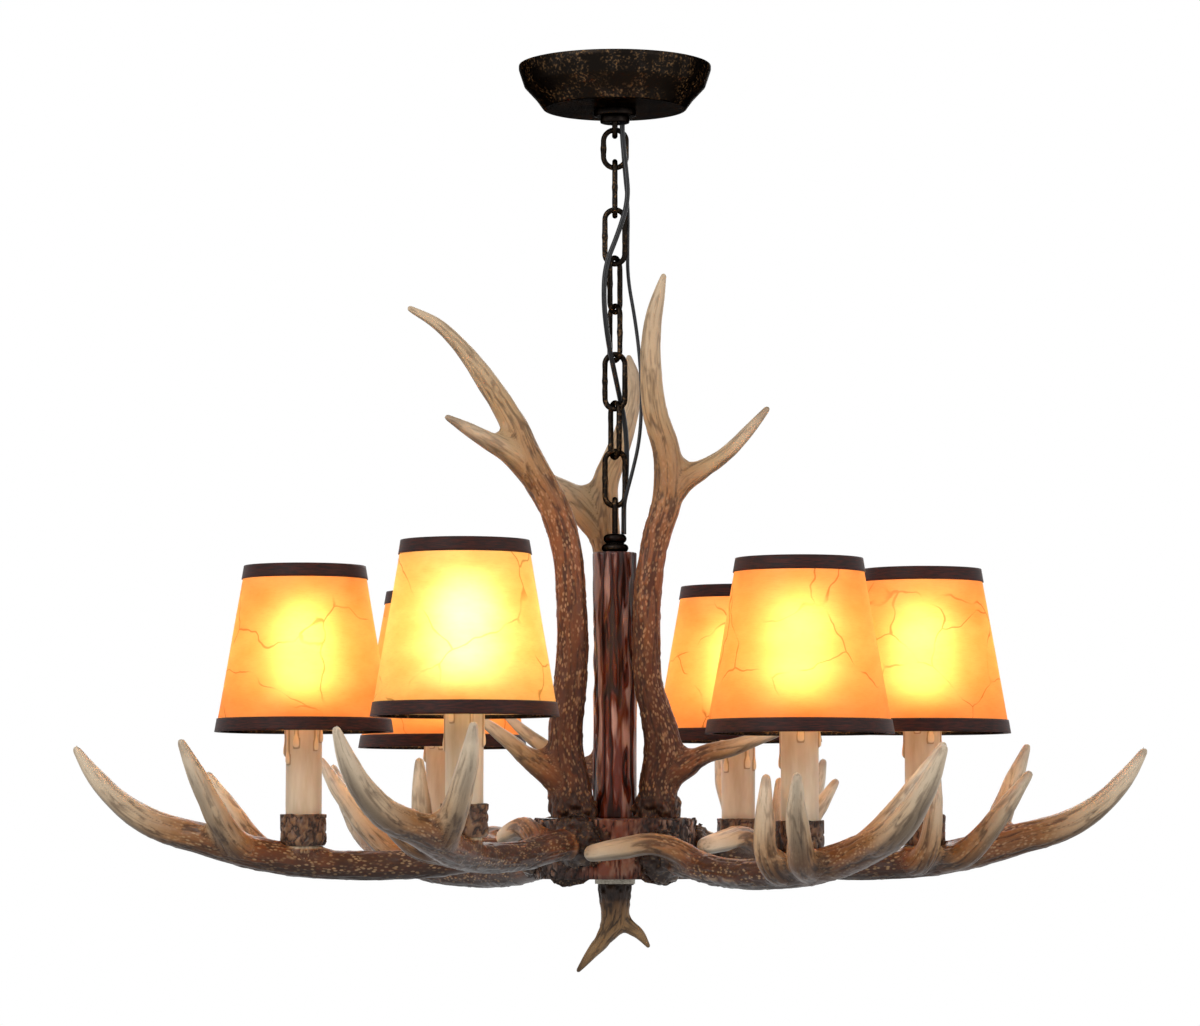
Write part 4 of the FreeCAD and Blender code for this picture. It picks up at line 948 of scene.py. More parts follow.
@dataclass
class Antler:
    """Grows one antler: round branches melted together at their forks, then carved with grooves and pearls."""

    branches: list[Branch]
    seed: int
    burr: tuple[float, float, float, float]
    burr_height: float
    groove_depth: float = 0.9
    groove_cell: float = 5.0
    groove_edge: float = 0.22
    groove_drawn: float = 8.0
    pearl_height: float = 0.5
    pearl_cell: float = 2.6
    pearl_drawn: float = 1.7
    lump_height: float = 0.7
    lump_cell: float = 24.0
    knob_cell: float = 5.5
    web: float = 3.6
    swell: float = 0.0
    rounds: int = 9
    voxel: float = 1.2
    step: float = 2.0
    around: int = 24
    blur: float = 3.0

    def grow(self) -> Shell:
        """Tubes thickened by the web, melted into one skin and drawn back by as much, which fills the forks.

        It is drawn back in rounds with a little smoothing after each, so that thin tips don't crumple. A
        displacement's strength is twice its length, because its middle level of 0.5 halves it.

        Returns:
            The plain skin of the antler, with its normals as a mark.
        """
        tubes = []
        for branch in self.branches:
            route = Route.through(branch.sections, self.step)
            start = route.places[:1] - route.directions()[:1] * self.web
            radii = np.concatenate([route.radii[:1], route.radii]) + self.web
            tubes.append(Route(np.concatenate([start, route.places]), radii).domed().tube(self.around))
        growth = mesh_object("growth", joined(tubes))
        melt = growth.modifiers.new("melt", "REMESH")
        melt.mode = "VOXEL"
        melt.voxel_size = self.voxel * MM
        growth.modifiers.new("soften", "SMOOTH").iterations = 8
        for _ in range(self.rounds):
            growth.modifiers.new("draw back", "DISPLACE").strength = -2 * (self.web - self.swell) / self.rounds * MM
            growth.modifiers.new("soften", "SMOOTH").iterations = 3
        corners, normals, faces = final_mesh(growth)
        return Shell(corners / MM, faces.reshape(-1, 4), {"normal": normals})

    def follow(self, corners: np.ndarray) -> tuple[np.ndarray, np.ndarray, np.ndarray]:
        """For each corner, its place on the nearest branch, how much bark it has, and how far the tip is.

        The nearest branch is the one with the least distance less radius. Bark and distance to the tip are
        shared between branches by exp(-gap / blur), so that they change softly across a fork.

        Returns:
            Unrolled places (across, across, along), the bark, and the distance to the tip.
        """
        best = np.full(len(corners), np.inf)
        unrolled = np.zeros_like(corners)
        bark, to_tip, total = np.zeros((3, len(corners)))
        for number, branch in enumerate(self.branches):
            route = Route.through(branch.sections, self.step)
            nearest, gap = route.nearest(corners)
            one, two = route.sides()
            offset = corners - route.places[nearest]
            frame_of = np.stack([one[nearest], two[nearest], route.directions()[nearest]], 1)
            place = np.einsum("ijk,ik->ij", frame_of, offset)
            place[:, 2] += route.lengths()[nearest]
            left = route.lengths()[-1] - place[:, 2]
            share = np.exp(-np.clip(gap, -10, 90) / self.blur)
            bark += share * branch.base * smooth(left, -0.15 * branch.reach, branch.reach)
            to_tip += share * np.maximum(left, 0)
            total += share
            closer = gap < best
            unrolled[closer] = place[closer] + np.array([40.0 * number, 0, 0])
            best = np.minimum(best, gap)
        return unrolled, bark / total, to_tip / total

    def carve(self, skin: Shell) -> Shell:
        """Grooves where drawn-out noise crosses 0, pearls where fine noise is high, knobs round the burr."""
        corners, normals = skin.corners, skin.marks["normal"]
        unrolled, bark, to_tip = self.follow(corners)
        waves = layered(unrolled / np.array([1.0, 1.0, self.groove_drawn]), self.groove_cell, self.seed)
        grooves = smooth(np.abs(waves), 0.0, self.groove_edge)
        grains = noise(unrolled / np.array([1.0, 1.0, self.pearl_drawn]), self.pearl_cell, self.seed + 3)
        pearls = smooth(grains, 0.15, 0.75)
        rough = 0.2 + 0.8 * bark
        ends = smooth(to_tip, 2.0, 30.0)
        height = self.groove_depth * (grooves - 1) * rough * ends + self.pearl_height * pearls * bark * ends
        height += self.lump_height * layered(corners, self.lump_cell, self.seed + 5, 2) * ends
        relief = (grooves - 1) * (0.3 + 0.55 * bark) + 0.8 * pearls * bark
        # Painted shade: the under mark is high where faces point down, and darkens them.
        under = smooth(-normals[:, 2], -0.1, 0.9)
        x, y, z, radius = self.burr
        close = smooth(np.linalg.norm(corners - np.array([x, y, z]), axis=1), radius * 1.45, radius * 0.95)
        knobs = layered(corners, self.knob_cell, self.seed + 9, 2)
        height += close * self.burr_height * (knobs - 0.1)
        relief = relief * (1 - close) + close * np.clip(1.6 * knobs - 0.2, -1, 1)
        # Round the burr: full bark, and the under mark adds painted shade at the antler's foot.
        bark, under = np.maximum(bark, close), np.maximum(under, 0.85 * close)
        marks = resin_marks(unrolled, bark, relief * (0.35 + 0.65 * ends), under)
        return Shell(corners + normals * height[:, None], skin.faces, marks)

    def make(self) -> Shell:
        """The finished antler."""
        return self.carve(self.grow())


@dataclass
class Arms:
    """The six arms: one casting, placed round the hub at each light.

    Sections run outwards from the hub (x), anticlockwise (y) and up from the level of the root (z).
    """

    lights: list[Light]
    hub_radius: float
    gap: float = 0.3
    seat_gap: float = 0.05
    cup_reach: float = 16.2
    burr_radius: float = 19.0

    def branches(self) -> list[Branch]:
        """The beam, four tines, the burr and the seat under the cup."""
        hub, light = self.hub_radius, self.lights[0].ring
        beam = [
            *shifted(hub, (-8, 0, 0, 10.5), (24, 0, -2, 10.5)),
            *shifted((hub + light) / 2, (-11, -3, -9, 10)),
            *shifted(light, (-46, -5, -11, 10), (0, 0, -8, 10.5), (38, 5, -1, 11.6), (70, 5, 8, 11)),
            *shifted(light, (101, 0, 17, 9.6), (128, -3, 34, 7.8), (145, -4, 52, 5.8), (157, -4, 69, 2.8)),
        ]
        fork = shifted(light, (34, 3, -3, 9.5), (46, 12, 4, 9.8), (56, 23, 17, 8.8), (66, 35, 36, 7.4),
                       (76, 46, 56, 5.6), (84, 53, 73, 2.8))
        side = shifted(light, (14, -2, -7, 9.5), (26, -17, -3, 9.2), (40, -30, 12, 7.8), (53, -42, 32, 6.2),
                       (66, -51, 52, 3))
        cup = shifted(light, (-12, 0, -9, 8.5), (-5, -16, -8, 8.4), (0, -28, 4, 7.4), (3, -31, 27, 6),
                      (5, -31, 52, 3))
        brow = shifted(hub, (50, -1, -7, 8), (41, -12, 4, 7.8), (31, -23, 9, 7.6), (14, -44, 6, 7.2),
                       (1, -57, 3, 5.8))
        burr = shifted(hub, (-8, 0, 0, 16), (2, 0, 0, 18), (7.5, 0, 0, 17), (10, 0, 0, 12))
        seat = shifted(light, (0, 0, -8, 10), (0, 0, -3, 11), (0, 0, 1, 11.5))
        return [
            Branch(beam, 1.0, 190.0),
            Branch(fork, 0.5, 90.0),
            Branch(side, 0.6, 80.0),
            Branch(cup, 0.75, 80.0),
            Branch(brow, 0.7, 60.0),
            Branch(burr, 1.0, 1.0),
            Branch(seat, 0.95, 1.0),
        ]

    def casting(self) -> Shell:
        """One arm along +X, cut flat under its cup and round where it meets the hub."""
        hub, light = self.hub_radius, self.lights[0].ring
        burr = (hub + 4, 0.0, 0.0, self.burr_radius)
        arm = Antler(self.branches(), 11, burr, 3.4, 0.8, pearl_height=0.4, web=5.4, swell=0.5, voxel=1.4).make()
        corners = arm.corners
        seat_top = self.lights[0].seat_height - self.seat_gap
        under_cup = (np.hypot(corners[:, 0] - light, corners[:, 1]) < self.cup_reach) & (corners[:, 2] < 30)
        corners[:, 2] = np.where(under_cup, np.minimum(corners[:, 2], seat_top), corners[:, 2])
        flat = arm.from_axis()
        inside = (flat < hub + self.gap) & (np.abs(corners[:, 2]) < 60)
        corners[:, :2] *= np.where(inside, (hub + self.gap) / np.maximum(flat, 1e-6), 1.0)[:, None]
        return arm

    def build(self, palette: Palette) -> None:
        """Places the casting at each light."""
        casting = self.casting()
        for light in self.lights:
            node = f"antler_arm_{light.number}"
            arm = casting.turned(light.turn).moved(z=light.cup_low - light.seat_height)
            place_piece(f"{node}_casting", node, arm, Slot.ANTLER, palette.arm)


class Upright(Enum):
    """The three uprights.

    Each has its name, the bearing of its foot on the hub in degrees, and the sections of its trunk, its high
    tine and its low tine, given from the foot.
    """

    LEFT = (
        "left",
        210,
        [
            (0, 0, 22, 12.6), (-5, -1, 52, 11.8), (-2, -2, 90, 11.2), (0, -3, 125, 10.6), (-1, -4, 153, 10.4),
            (-5, -5, 190, 10.3), (-14, -6, 218, 10.4), (-29, -7, 245, 10.8), (-41, -8, 273, 9.2),
            (-58, -10, 301, 7.2), (-79, -13, 329, 5.2), (-95, -15, 344, 3.9), (-113, -17, 354, 1.9),
        ],
        [(-32, -8, 241, 7.5), (-45, -17, 253, 6.6), (-60, -26, 262, 5.6), (-73, -32, 269, 4.3), (-86, -36, 276, 1.9)],
        [(-4, 0, 20, 9.5), (-14, -3, 29, 8.6), (-26, -7, 38, 7.2), (-44, -12, 53, 5.4), (-63, -16, 68, 2.8)],
    )
    RIGHT = (
        "right",
        330,
        [
            (0, 0, 22, 12.8), (4, -1, 50, 12.4), (-1, -2, 73, 11), (-6, -3, 92, 9.8), (-7.5, -4, 125, 9.2),
            (-7, -5, 153, 9.2), (-1, -5, 194, 9.7), (7, -5, 224, 9.6), (6.5, -5, 254, 9.1), (-2, -5, 284, 8.3),
            (-4.5, -5, 315, 7.3), (-3, -5, 345, 5.9), (2, -6, 368, 3.6), (4.5, -7, 378, 1.8),
        ],
        [
            (7, -5, 222, 8.6), (20, -3, 236, 7.4), (33, 0, 244, 6), (51, 3, 257, 4.9), (66, 5, 273, 3.8),
            (77, 7, 286, 1.9),
        ],
        [
            (3, 0, 26, 9.5), (17, -6, 34, 8), (33, -12, 44, 6.4), (53, -18, 49, 5.4), (67, -22, 54, 4.5),
            (83, -26, 59, 2.8),
        ],
    )
    BACK = (
        "back",
        90,
        [
            (-1, 2, 22, 12.6), (-3, 7, 51, 11.2), (-3, 9, 91, 10), (-2, 10, 131, 9.6), (-3, 11, 168, 9.8),
            (-5, 12, 190, 10.4), (-8, 12.5, 208, 11), (-8, 13, 226, 10.4), (-6, 13, 242, 9.2), (0, 12, 257, 8),
            (8, 10, 280, 6.8), (13, 9, 302, 5.4), (13, 8, 315, 4.4), (10, 7, 328, 1.9),
        ],
        [
            (-8, 12, 201, 9.6), (-19, 12.5, 216, 10.8), (-28, 13, 226, 10.4), (-36, 13.5, 232, 9),
            (-46, 14, 239, 6.6), (-54, 15, 248, 4.2), (-60, 16, 259, 1.9),
        ],
        [(-4, 3, 26, 8.6), (-20, 9, 33, 7.6), (-42, 15, 45, 6), (-60, 20, 58, 4.6), (-76, 24, 72, 2.4)],
    )


@dataclass
class Uprights:
    """The antlers that stand on the hub round the column."""

    hub_top: float
    ring_radius: float = 34.0
    burr: tuple[float, float, float, float] = (0.0, 0.0, 4.0, 17.2)
    foot_gap: float = 0.1

    def build(self, palette: Palette) -> None:
        """Grows each upright on its foot: a burr under its trunk, and two tines."""
        for which in Upright:
            name, bearing, trunk, high, low = which.value
            foot = [(0, 0, -0.5, 15.4), (0, 0, 5, 16.4), (0, 0, 10, 15.6)]
            branches = [Branch(foot + trunk, 1.0, 330.0), Branch(high, 0.45, 110.0), Branch(low, 0.85, 90.0)]
            shell = Antler(branches, 20 + bearing, self.burr, 3.6, web=6.0, swell=0.6).make()
            shell.corners[:, 2] = np.maximum(shell.corners[:, 2], self.foot_gap)
            angle = math.radians(bearing)
            x, y = self.ring_radius * math.cos(angle), self.ring_radius * math.sin(angle)
            node = f"upright_antler_{name}"
            place_piece(f"{node}_casting", node, shell.moved(x, y, self.hub_top), Slot.ANTLER, palette.upright)


@dataclass
class Finial:
    """The forked antler tip under the hub, given from the washer's underside down."""

    washer_low: float
    collar: tuple[float, float, float, float] = (0.0, 0.0, -3.0, 13.4)
    gap: float = 0.1

    def build(self, palette: Palette) -> None:
        """Grows the finial, point down, with its knobbly collar."""
        trunk = [
            (0, 0, 0.5, 12), (0, 0, -4, 12.6), (0, 0, -7, 12), (0, 0, -16, 10.6), (-1.5, 0, -27, 9.2),
            (-8, 0, -38, 6.2), (-17, 0, -49, 4.2), (-25.5, 0, -60, 1.8),
        ]
        tine = [(1, 0, -22, 7.4), (9, 0, -29, 5.6), (17, 0, -35, 4), (23, 0, -43, 1.8)]
        branches = [Branch(trunk, 1.0, 80.0), Branch(tine, 0.7, 50.0)]
        shell = Antler(branches, 5, self.collar, 1.4, 1.0, 4.0, pearl_height=0.3, web=2.0, voxel=0.8, step=1.0).make()
        shell.corners[:, 2] = np.minimum(shell.corners[:, 2], -self.gap)
        place_piece("finial_casting", "finial_antler", shell.moved(z=self.washer_low), Slot.ANTLER, palette.finial)


# ---------------------------------------------------------------- bark pieces


def bark_relief(points: np.ndarray, cell: float, drawn_out: float, seed: int) -> np.ndarray:
    """Bark: broad ridges with narrow grooves between, where upright-drawn noise crosses 0. From -1 to 1."""
    waves = layered(points / np.array([1.0, 1.0, drawn_out]), cell, seed)
    return 2 * smooth(np.abs(waves), 0.0, 0.24) - 1


@dataclass
class BarkPost:
    """The bark column round the stem, and the beaded knob on it."""

    bore: float = 5.6
    groove_depth: float = 1.3
    groove_cell: float = 7.0
    drawn_out: float = 9.0
    wave_height: float = 0.7
    wave_cell: float = 14.0
    neck: float = 6.6
    upper_bead: float = 8.2

    def column(self, palette: Palette) -> None:
        """A tube whose outside is carved with long wavy ridges."""
        low, high = node_box("column")
        radius = high[0]
        shell = lathe(wall_outline(self.bore, radius, low[2], high[2]), around=180, step=1.3, soften=1.0)
        skin = smooth(shell.from_axis(), radius - 3.0, radius - 0.6)
        relief = bark_relief(shell.corners, self.groove_cell, self.drawn_out, 3)
        broad = layered(shell.corners / np.array([1, 1, 3.0]), self.wave_cell, 8, 2)
        shell = shell.carved(skin * (0.5 * self.groove_depth * (relief - 0.5) + self.wave_height * broad))
        rise = smooth(shell.corners[:, 2], low[2], high[2])
        ridge = np.where(skin > 0.5, relief * (1 - 0.35 * rise), -0.4)
        shell.marks = resin_marks(shell.corners, 0.25 + 0.6 * rise, ridge)
        place_piece("column_bark", "column", shell, Slot.BARK, palette.column)

    def knob(self, palette: Palette) -> None:
        """Two beads with a waist between them: an outline of arcs carried round the axis."""
        low, high = node_box("column_knob")
        tall = high[2] - low[2]
        turn = np.linspace(-np.pi / 2, np.pi / 2, 9)
        lower = [(high[0] - 3.2 + 3.2 * math.cos(a), 3.1 + 3.0 * math.sin(a)) for a in turn]
        upper = [(self.upper_bead - 3.2 + 3.2 * math.cos(a), tall - 3.3 + 3.2 * math.sin(a)) for a in turn]
        outline = [(0.0, 0.1), *lower, (self.neck, 6.6), *upper, (0.0, tall - 0.1)]
        shell = lathe([(r, low[2] + h) for r, h in outline], around=72, step=0.7)
        place_piece("column_knob_beads", "column_knob", shell, Slot.BLACK, palette.knob)

    def build(self, palette: Palette) -> None:
        """Makes the column and the knob."""
        self.column(palette)
        self.knob(palette)


@dataclass
class Hub:
    """The bark ring that holds the arms, open underneath for the steel plate."""

    wall: float = 7.0
    top: float = 6.0
    stem_hole: float = 5.2
    plate_rebate: float = 3.0
    plate_gap: float = 0.2
    groove_depth: float = 2.2
    pit_height: float = 0.8
    lump_height: float = 1.8
    nub_height: float = 2.2
    around: int = 420
    step: float = 1.1

    def outline(self, low: np.ndarray, high: np.ndarray) -> list[tuple[float, float]]:
        """The ring's section: its wall and its lid, with a rebate for the plate."""
        radius, inside, lid = high[0], high[0] - self.wall, high[2] - self.top
        plate, rebate = node_box("hub_plate")[1][0] + self.plate_gap, low[2] + self.plate_rebate
        outer = [(plate, low[2]), (radius, low[2]), (radius, high[2]), (self.stem_hole, high[2])]
        return [*outer, (self.stem_hole, lid), (inside, lid), (inside, rebate), (plate, rebate)]

    def build(self, palette: Palette) -> None:
        """Upright ridges round the front, knobs elsewhere, rings on the top, nubs along the rim, and painted light:
        the front lighter, the sides and the bottom darker.
        """
        low, high = node_box("hub_ring")
        radius = high[0]
        shell = lathe(self.outline(low, high), self.around, self.step, soften=0.4)
        corners, r = shell.corners, shell.from_axis()
        side = smooth(r, radius - 1.6, radius - 0.2)
        # Painted light: this mask is 0 at the front and 1 round the sides. As the bark mark it paints the front
        # lighter and redder and the sides darker; it also sets where ridges give way to knobs.
        knobs_and_side_shade = smooth(np.linalg.norm(corners[:, :2] - np.array([-6.0, -radius]), axis=1), 8.0, 46.0)
        knobs_and_side_shade = np.clip(knobs_and_side_shade + 0.3 * layered(corners, 24.0, 53, 2), 0, 1)
        relief = (1 - knobs_and_side_shade) * bark_relief(corners, 3.0, 6.0, 31) + knobs_and_side_shade * bark_relief(corners, 4.2, 1.4, 33)
        pits = layered(corners, 3.2, 37, 2)
        lumps = layered(corners / np.array([1, 1, 2.0]), 17.0, 41, 2)
        deep = 0.5 * self.groove_depth * (relief - 0.3) + self.pit_height * pits + self.lump_height * lumps
        lid = smooth(corners[:, 2], high[2] - 1.0, high[2] - 0.1)
        rim = lid * smooth(r, radius - 9.0, radius - 1.0)
        nubs = layered(corners * np.array([1, 1, 0.2]), 6.0, 43, 2)
        rings = noise(np.stack([r * 2.2, 0 * r, 0 * r], -1) + 0.6 * corners, 5.0, 47)
        shell = shell.carved(side * deep, lid * (0.35 * rings - 0.3) + rim * (self.nub_height * nubs - 0.4))
        shown = np.clip(np.where(side > 0.5, relief + 0.4 * pits, 1.2 * rings), -1, 1)
        # Painted shade: the side darkens towards the bottom of the ring.
        under = smooth(low[2] + 6.0 - corners[:, 2], 0.0, 6.0) * side
        shell.marks = resin_marks(corners, knobs_and_side_shade, shown, under)
        place_piece("hub_bark", "hub_ring", shell, Slot.BARK, palette.hub)


@dataclass
class Cups:
    """The bark cups that hold the candle sleeves."""

    lights: list[Light]
    radius: float = 15.7
    height: float = 22.0
    hole: float = 5.05
    gap: float = 0.2
    pit_depth: float = 1.1
    lump_height: float = 0.5
    nub_height: float = 0.7

    def cup(self, light: Light) -> Shell:
        """A pitted cup with its own bark."""
        low, floor, top = light.cup_low, light.sleeve_low, light.cup_low + self.height
        inside = light.sleeve_radius + self.gap
        outer = [(self.hole, low), (self.radius - 1.4, low), (self.radius, low + 3.0), (self.radius, top)]
        outline = [*outer, (inside, top), (inside, floor), (self.hole, floor)]
        shell = lathe(outline, around=120, step=1.0, soften=0.35)
        corners, seed = shell.corners, 60 + light.number
        side = smooth(shell.from_axis(), inside + 0.5, self.radius - 0.8)
        relief = bark_relief(corners, 4.2, 1.3, seed)
        lumps = layered(corners, 9.0, seed + 20, 2)
        rim = smooth(corners[:, 2], top - 2, top)
        nubs = layered(corners * np.array([1, 1, 0.1]), 5.0, seed + 40, 2)
        deep = 0.5 * self.pit_depth * (relief - 0.5) + self.lump_height * lumps
        shell = shell.carved(side * deep, rim * (self.nub_height * nubs - 0.3))
        shell.marks = resin_marks(corners, np.clip(0.5 + lumps, 0, 1), np.where(side > 0.3, relief, -0.5))
        return shell.moved(light.x, light.y)

    def build(self, palette: Palette) -> None:
        """One mesh with all six cups."""
        cups = joined([self.cup(light) for light in self.lights])
        place_piece("candle_cups_bark", "candle_cups", cups, Slot.BARK, palette.cup)


# ---------------------------------------------------------------- lights


@dataclass
class Sleeves:
    """Card candle sleeves with runs of wax down from the top."""

    lights: list[Light]
    wall: float = 1.3
    runs: int = 9
    run_below: float = 24.0
    run_width: float = 2.4
    run_height: float = 1.9
    wobble: float = 0.18
    plain_foot: float = 20.0

    def drips(self, angle: np.ndarray, depth: np.ndarray, light: Light) -> np.ndarray:
        """How far the wax stands proud, from 0 to 1.

        Each run is a half-round bead along a line down the sleeve: the square root of 1 - (across / width)^2,
        from the top to its own length, with a drop of greater width at its end.

        Args:
            angle: Bearing of each corner.
            depth: Distance of each corner below the top.
            light: The light, whose number chooses the runs.

        Returns:
            A number for each corner.
        """
        radius, hidden = light.sleeve_radius, light.sleeve_high - light.shade_low
        random = np.random.default_rng(light.number)
        wax = np.zeros(len(angle))
        for i in range(self.runs):
            bearing = 2 * np.pi * (i + random.uniform(0.1, 0.9)) / self.runs
            length = hidden + random.uniform(-8, self.run_below)
            width = self.run_width * random.uniform(0.8, 1.2)
            across = radius * np.abs((angle - bearing + np.pi) % (2 * np.pi) - np.pi)
            swell = 0.62 + 0.38 * smooth(depth, length - 11, length - 4)
            reach = width * swell
            bead = np.sqrt(np.clip(1 - (across / reach) ** 2, 0, 1)) * swell
            end = np.sqrt(np.clip(1 - ((depth - length + reach) / reach).clip(0) ** 2, 0, 1))
            wax = np.maximum(wax, bead * end)
        return wax

    def build(self, palette: Palette) -> None:
        """A thin tube for each light, its outside carrying the wax."""
        for light in self.lights:
            radius, inner = light.sleeve_radius, light.sleeve_radius - self.wall
            low, high = light.sleeve_low, light.sleeve_high
            shell = lathe(wall_outline(inner, radius, low, high), around=108, step=1.4, soften=0.3)
            x, y, z = shell.corners.T
            skin = smooth(shell.from_axis(), inner + 0.4, radius - 0.1)
            wax = self.drips(np.arctan2(y, x), high - z, light)
            uneven = self.wobble * layered(shell.corners / np.array([1, 1, 4.0]), 8.0, light.number, 2)
            free = smooth(z, low + self.plain_foot, low + self.plain_foot + 4.0)
            shell.marks = {"drip": wax * skin, "rise": (z - low) / (high - low)}
            shell = shell.carved(skin * free * (self.run_height * wax + uneven)).moved(light.x, light.y)
            node = f"candle_sleeve_{light.number}"
            place_piece(f"{node}_waxed", node, shell, Slot.CANDLE, palette.candle)


@dataclass
class Shades:
    """The parchment cones, each with a ribbon at the top and bottom and a wire ring in the bottom."""

    lights: list[Light]
    top_radius: float = 41.5
    wall: float = 0.8
    ribbon_width: float = 9.0
    ribbon_thickness: float = 0.8
    ribbon_gap: float = 0.05
    fold: float = 0.3
    lip: float = 0.25
    sheet_gap: float = 0.01
    wire_radius: float = 1.2
    wave: float = 0.5
    wave_cell: float = 38.0
    around: int = 150
    # The light whose shade gets the parchment copy painted as more brightly lit.
    brighter_lit_light: int = 5

    def waved(self, shell: Shell, seed: int) -> Shell:
        """Lets the sheet wander in and out a little, the same at a bearing and level for all its layers."""
        x, y, z = shell.corners.T
        bearing = np.arctan2(y, x)
        on_sheet = np.stack([40 * np.cos(bearing), 40 * np.sin(bearing), z * 0.7], -1)
        return shell.carved(self.wave * layered(on_sheet, self.wave_cell, seed, 2))

    def slope(self, light: Light) -> float:
        """How far the cone draws in for each millimetre up."""
        return (light.shade_radius - self.top_radius) / (light.shade_high - light.shade_low)

    def radius_at(self, light: Light, level: np.ndarray | float) -> np.ndarray | float:
        """Outer radius of the parchment at a level."""
        return light.shade_radius - (level - light.shade_low) * self.slope(light)

    def skin(self, light: Light) -> Shell:
        """The cone's two walls, numbered 0 outside and 1 inside."""
        low, high = light.shade_low, light.shade_high
        bottom, top = light.shade_radius, self.top_radius
        outline = [(bottom - self.wall, low), (bottom, low), (top, high), (top - self.wall, high)]
        shell = lathe(outline, self.around, step=2.4)
        middle = shell.corners[shell.faces].mean(axis=1)
        gap = np.linalg.norm(middle[:, :2], axis=1) - self.radius_at(light, middle[:, 2])
        shell.finish = (gap < -0.6 * self.wall).astype(int)
        return self.waved(shell, light.number)

    def band(self, light: Light, edge: float, up: int) -> Shell:
        """A ribbon folded a little over an edge of the parchment, where up is 1 at its top and -1 at its bottom."""
        far = edge - up * self.ribbon_width
        edge_in, far_in = (self.radius_at(light, level) + self.ribbon_gap for level in (edge, far))
        edge_out, far_out = edge_in + self.ribbon_thickness, far_in + self.ribbon_thickness
        fold, lip, rest = edge_in - self.wall - self.fold, edge + up * self.lip, edge - up * self.sheet_gap
        outline = [(far_in, far), (far_out, far), (edge_out, lip), (fold, lip), (fold, rest), (edge_in, rest)]
        return self.waved(lathe(outline, self.around, step=1.6), light.number)

    def ring(self, light: Light) -> Shell:
        """The wire ring in the bottom of the shade: a small circle carried round a large one."""
        thick = self.wire_radius
        middle = light.shade_radius - self.wall - self.fold - thick * (1 + self.slope(light))
        turn = np.linspace(0, 2 * np.pi, 10, endpoint=False)
        level = light.shade_low + thick
        outline = [(middle + thick * math.cos(a), level + thick * math.sin(a)) for a in turn]
        return lathe(outline, around=96, step=1.0)

    def build(self, palette: Palette) -> None:
        """Each shade's parchment and its trim, on the body that turns with it."""
        for light in self.lights:
            number, body = light.number, light.body
            paper = palette.brighter_lit_parchment if number == self.brighter_lit_light else palette.parchment
            skin = self.skin(light).moved(light.x, light.y)
            place_piece(f"shade_{number}_parchment", f"shade_{number}", skin, Slot.PARCHMENT, paper, palette.lining,
                        body=body)
            parts = [self.band(light, light.shade_low, -1), self.band(light, light.shade_high, 1), self.ring(light)]
            for shell, finish in zip(parts, (0, 0, 1)):
                shell.finish = np.full(len(shell.faces), finish)
            trim = joined(parts).moved(light.x, light.y)
            node = f"shade_trim_{number}"
            place_piece(f"{node}_ribbons", node, trim, Slot.RIBBON, palette.ribbon, palette.black, body=body)


@dataclass
class Bulbs:
    """Lit candle bulbs: frosted glass drawn to a tip, on a threaded brass base."""

    lights: list[Light]
    glass_base: float = 100.2
    base_radius: float = 6.6
    base_length: float = 24.0
    thread_pitch: float = 3.0
    thread_depth: float = 0.4
    neck: float = 8.3
    belly_radius: float = 17.2
    belly: float = 30.0
    length: float = 71.6

    def outline(self) -> list[tuple[float, float]]:
        """The bulb's half outline from the tip of its base to the tip of its glass.

        The thread is a sine wave on the base. The glass swells from the neck to the belly as sin(t)^0.9,
        and from there falls off as (1 - t^1.9)^0.85.
        """
        levels = np.linspace(3.0 - self.base_length, -2.0, 60)
        wave = self.thread_depth * np.sin(levels * 2 * np.pi / self.thread_pitch)
        thread = [(self.base_radius + w, float(h)) for w, h in zip(wave, levels)]
        wider, taller = self.belly_radius - self.neck, self.length - self.belly
        rise, drop = np.linspace(0.0, 1.0, 20), np.linspace(0.04, 0.995, 30)
        grow = [(self.neck + wider * math.sin(t * math.pi / 2) ** 0.9, self.belly * t) for t in rise]
        fall = [(self.belly_radius * (1 - t**1.9) ** 0.85, self.belly + taller * t) for t in drop]
        tip = [(0.0, -self.base_length), (2.6, -self.base_length), (3.4, 0.8 - self.base_length)]
        return [*tip, *thread, (7.4, -0.6), *grow, *fall, (0.0, self.length)]

    def build(self, palette: Palette) -> None:
        """One mesh with all six bulbs."""
        bulbs = []
        for light in self.lights:
            shell = lathe(self.outline(), around=48, step=1.6)
            middle = shell.corners[shell.faces].mean(axis=1)[:, 2]
            shell.finish = (middle < 0).astype(int)
            bulbs.append(shell.moved(light.x, light.y, light.cup_low + self.glass_base))
        place_piece("lit_bulbs", "bulbs", joined(bulbs), Slot.BULB, palette.glass, palette.brass)


# ---------------------------------------------------------------- ceiling pieces, chain and cords


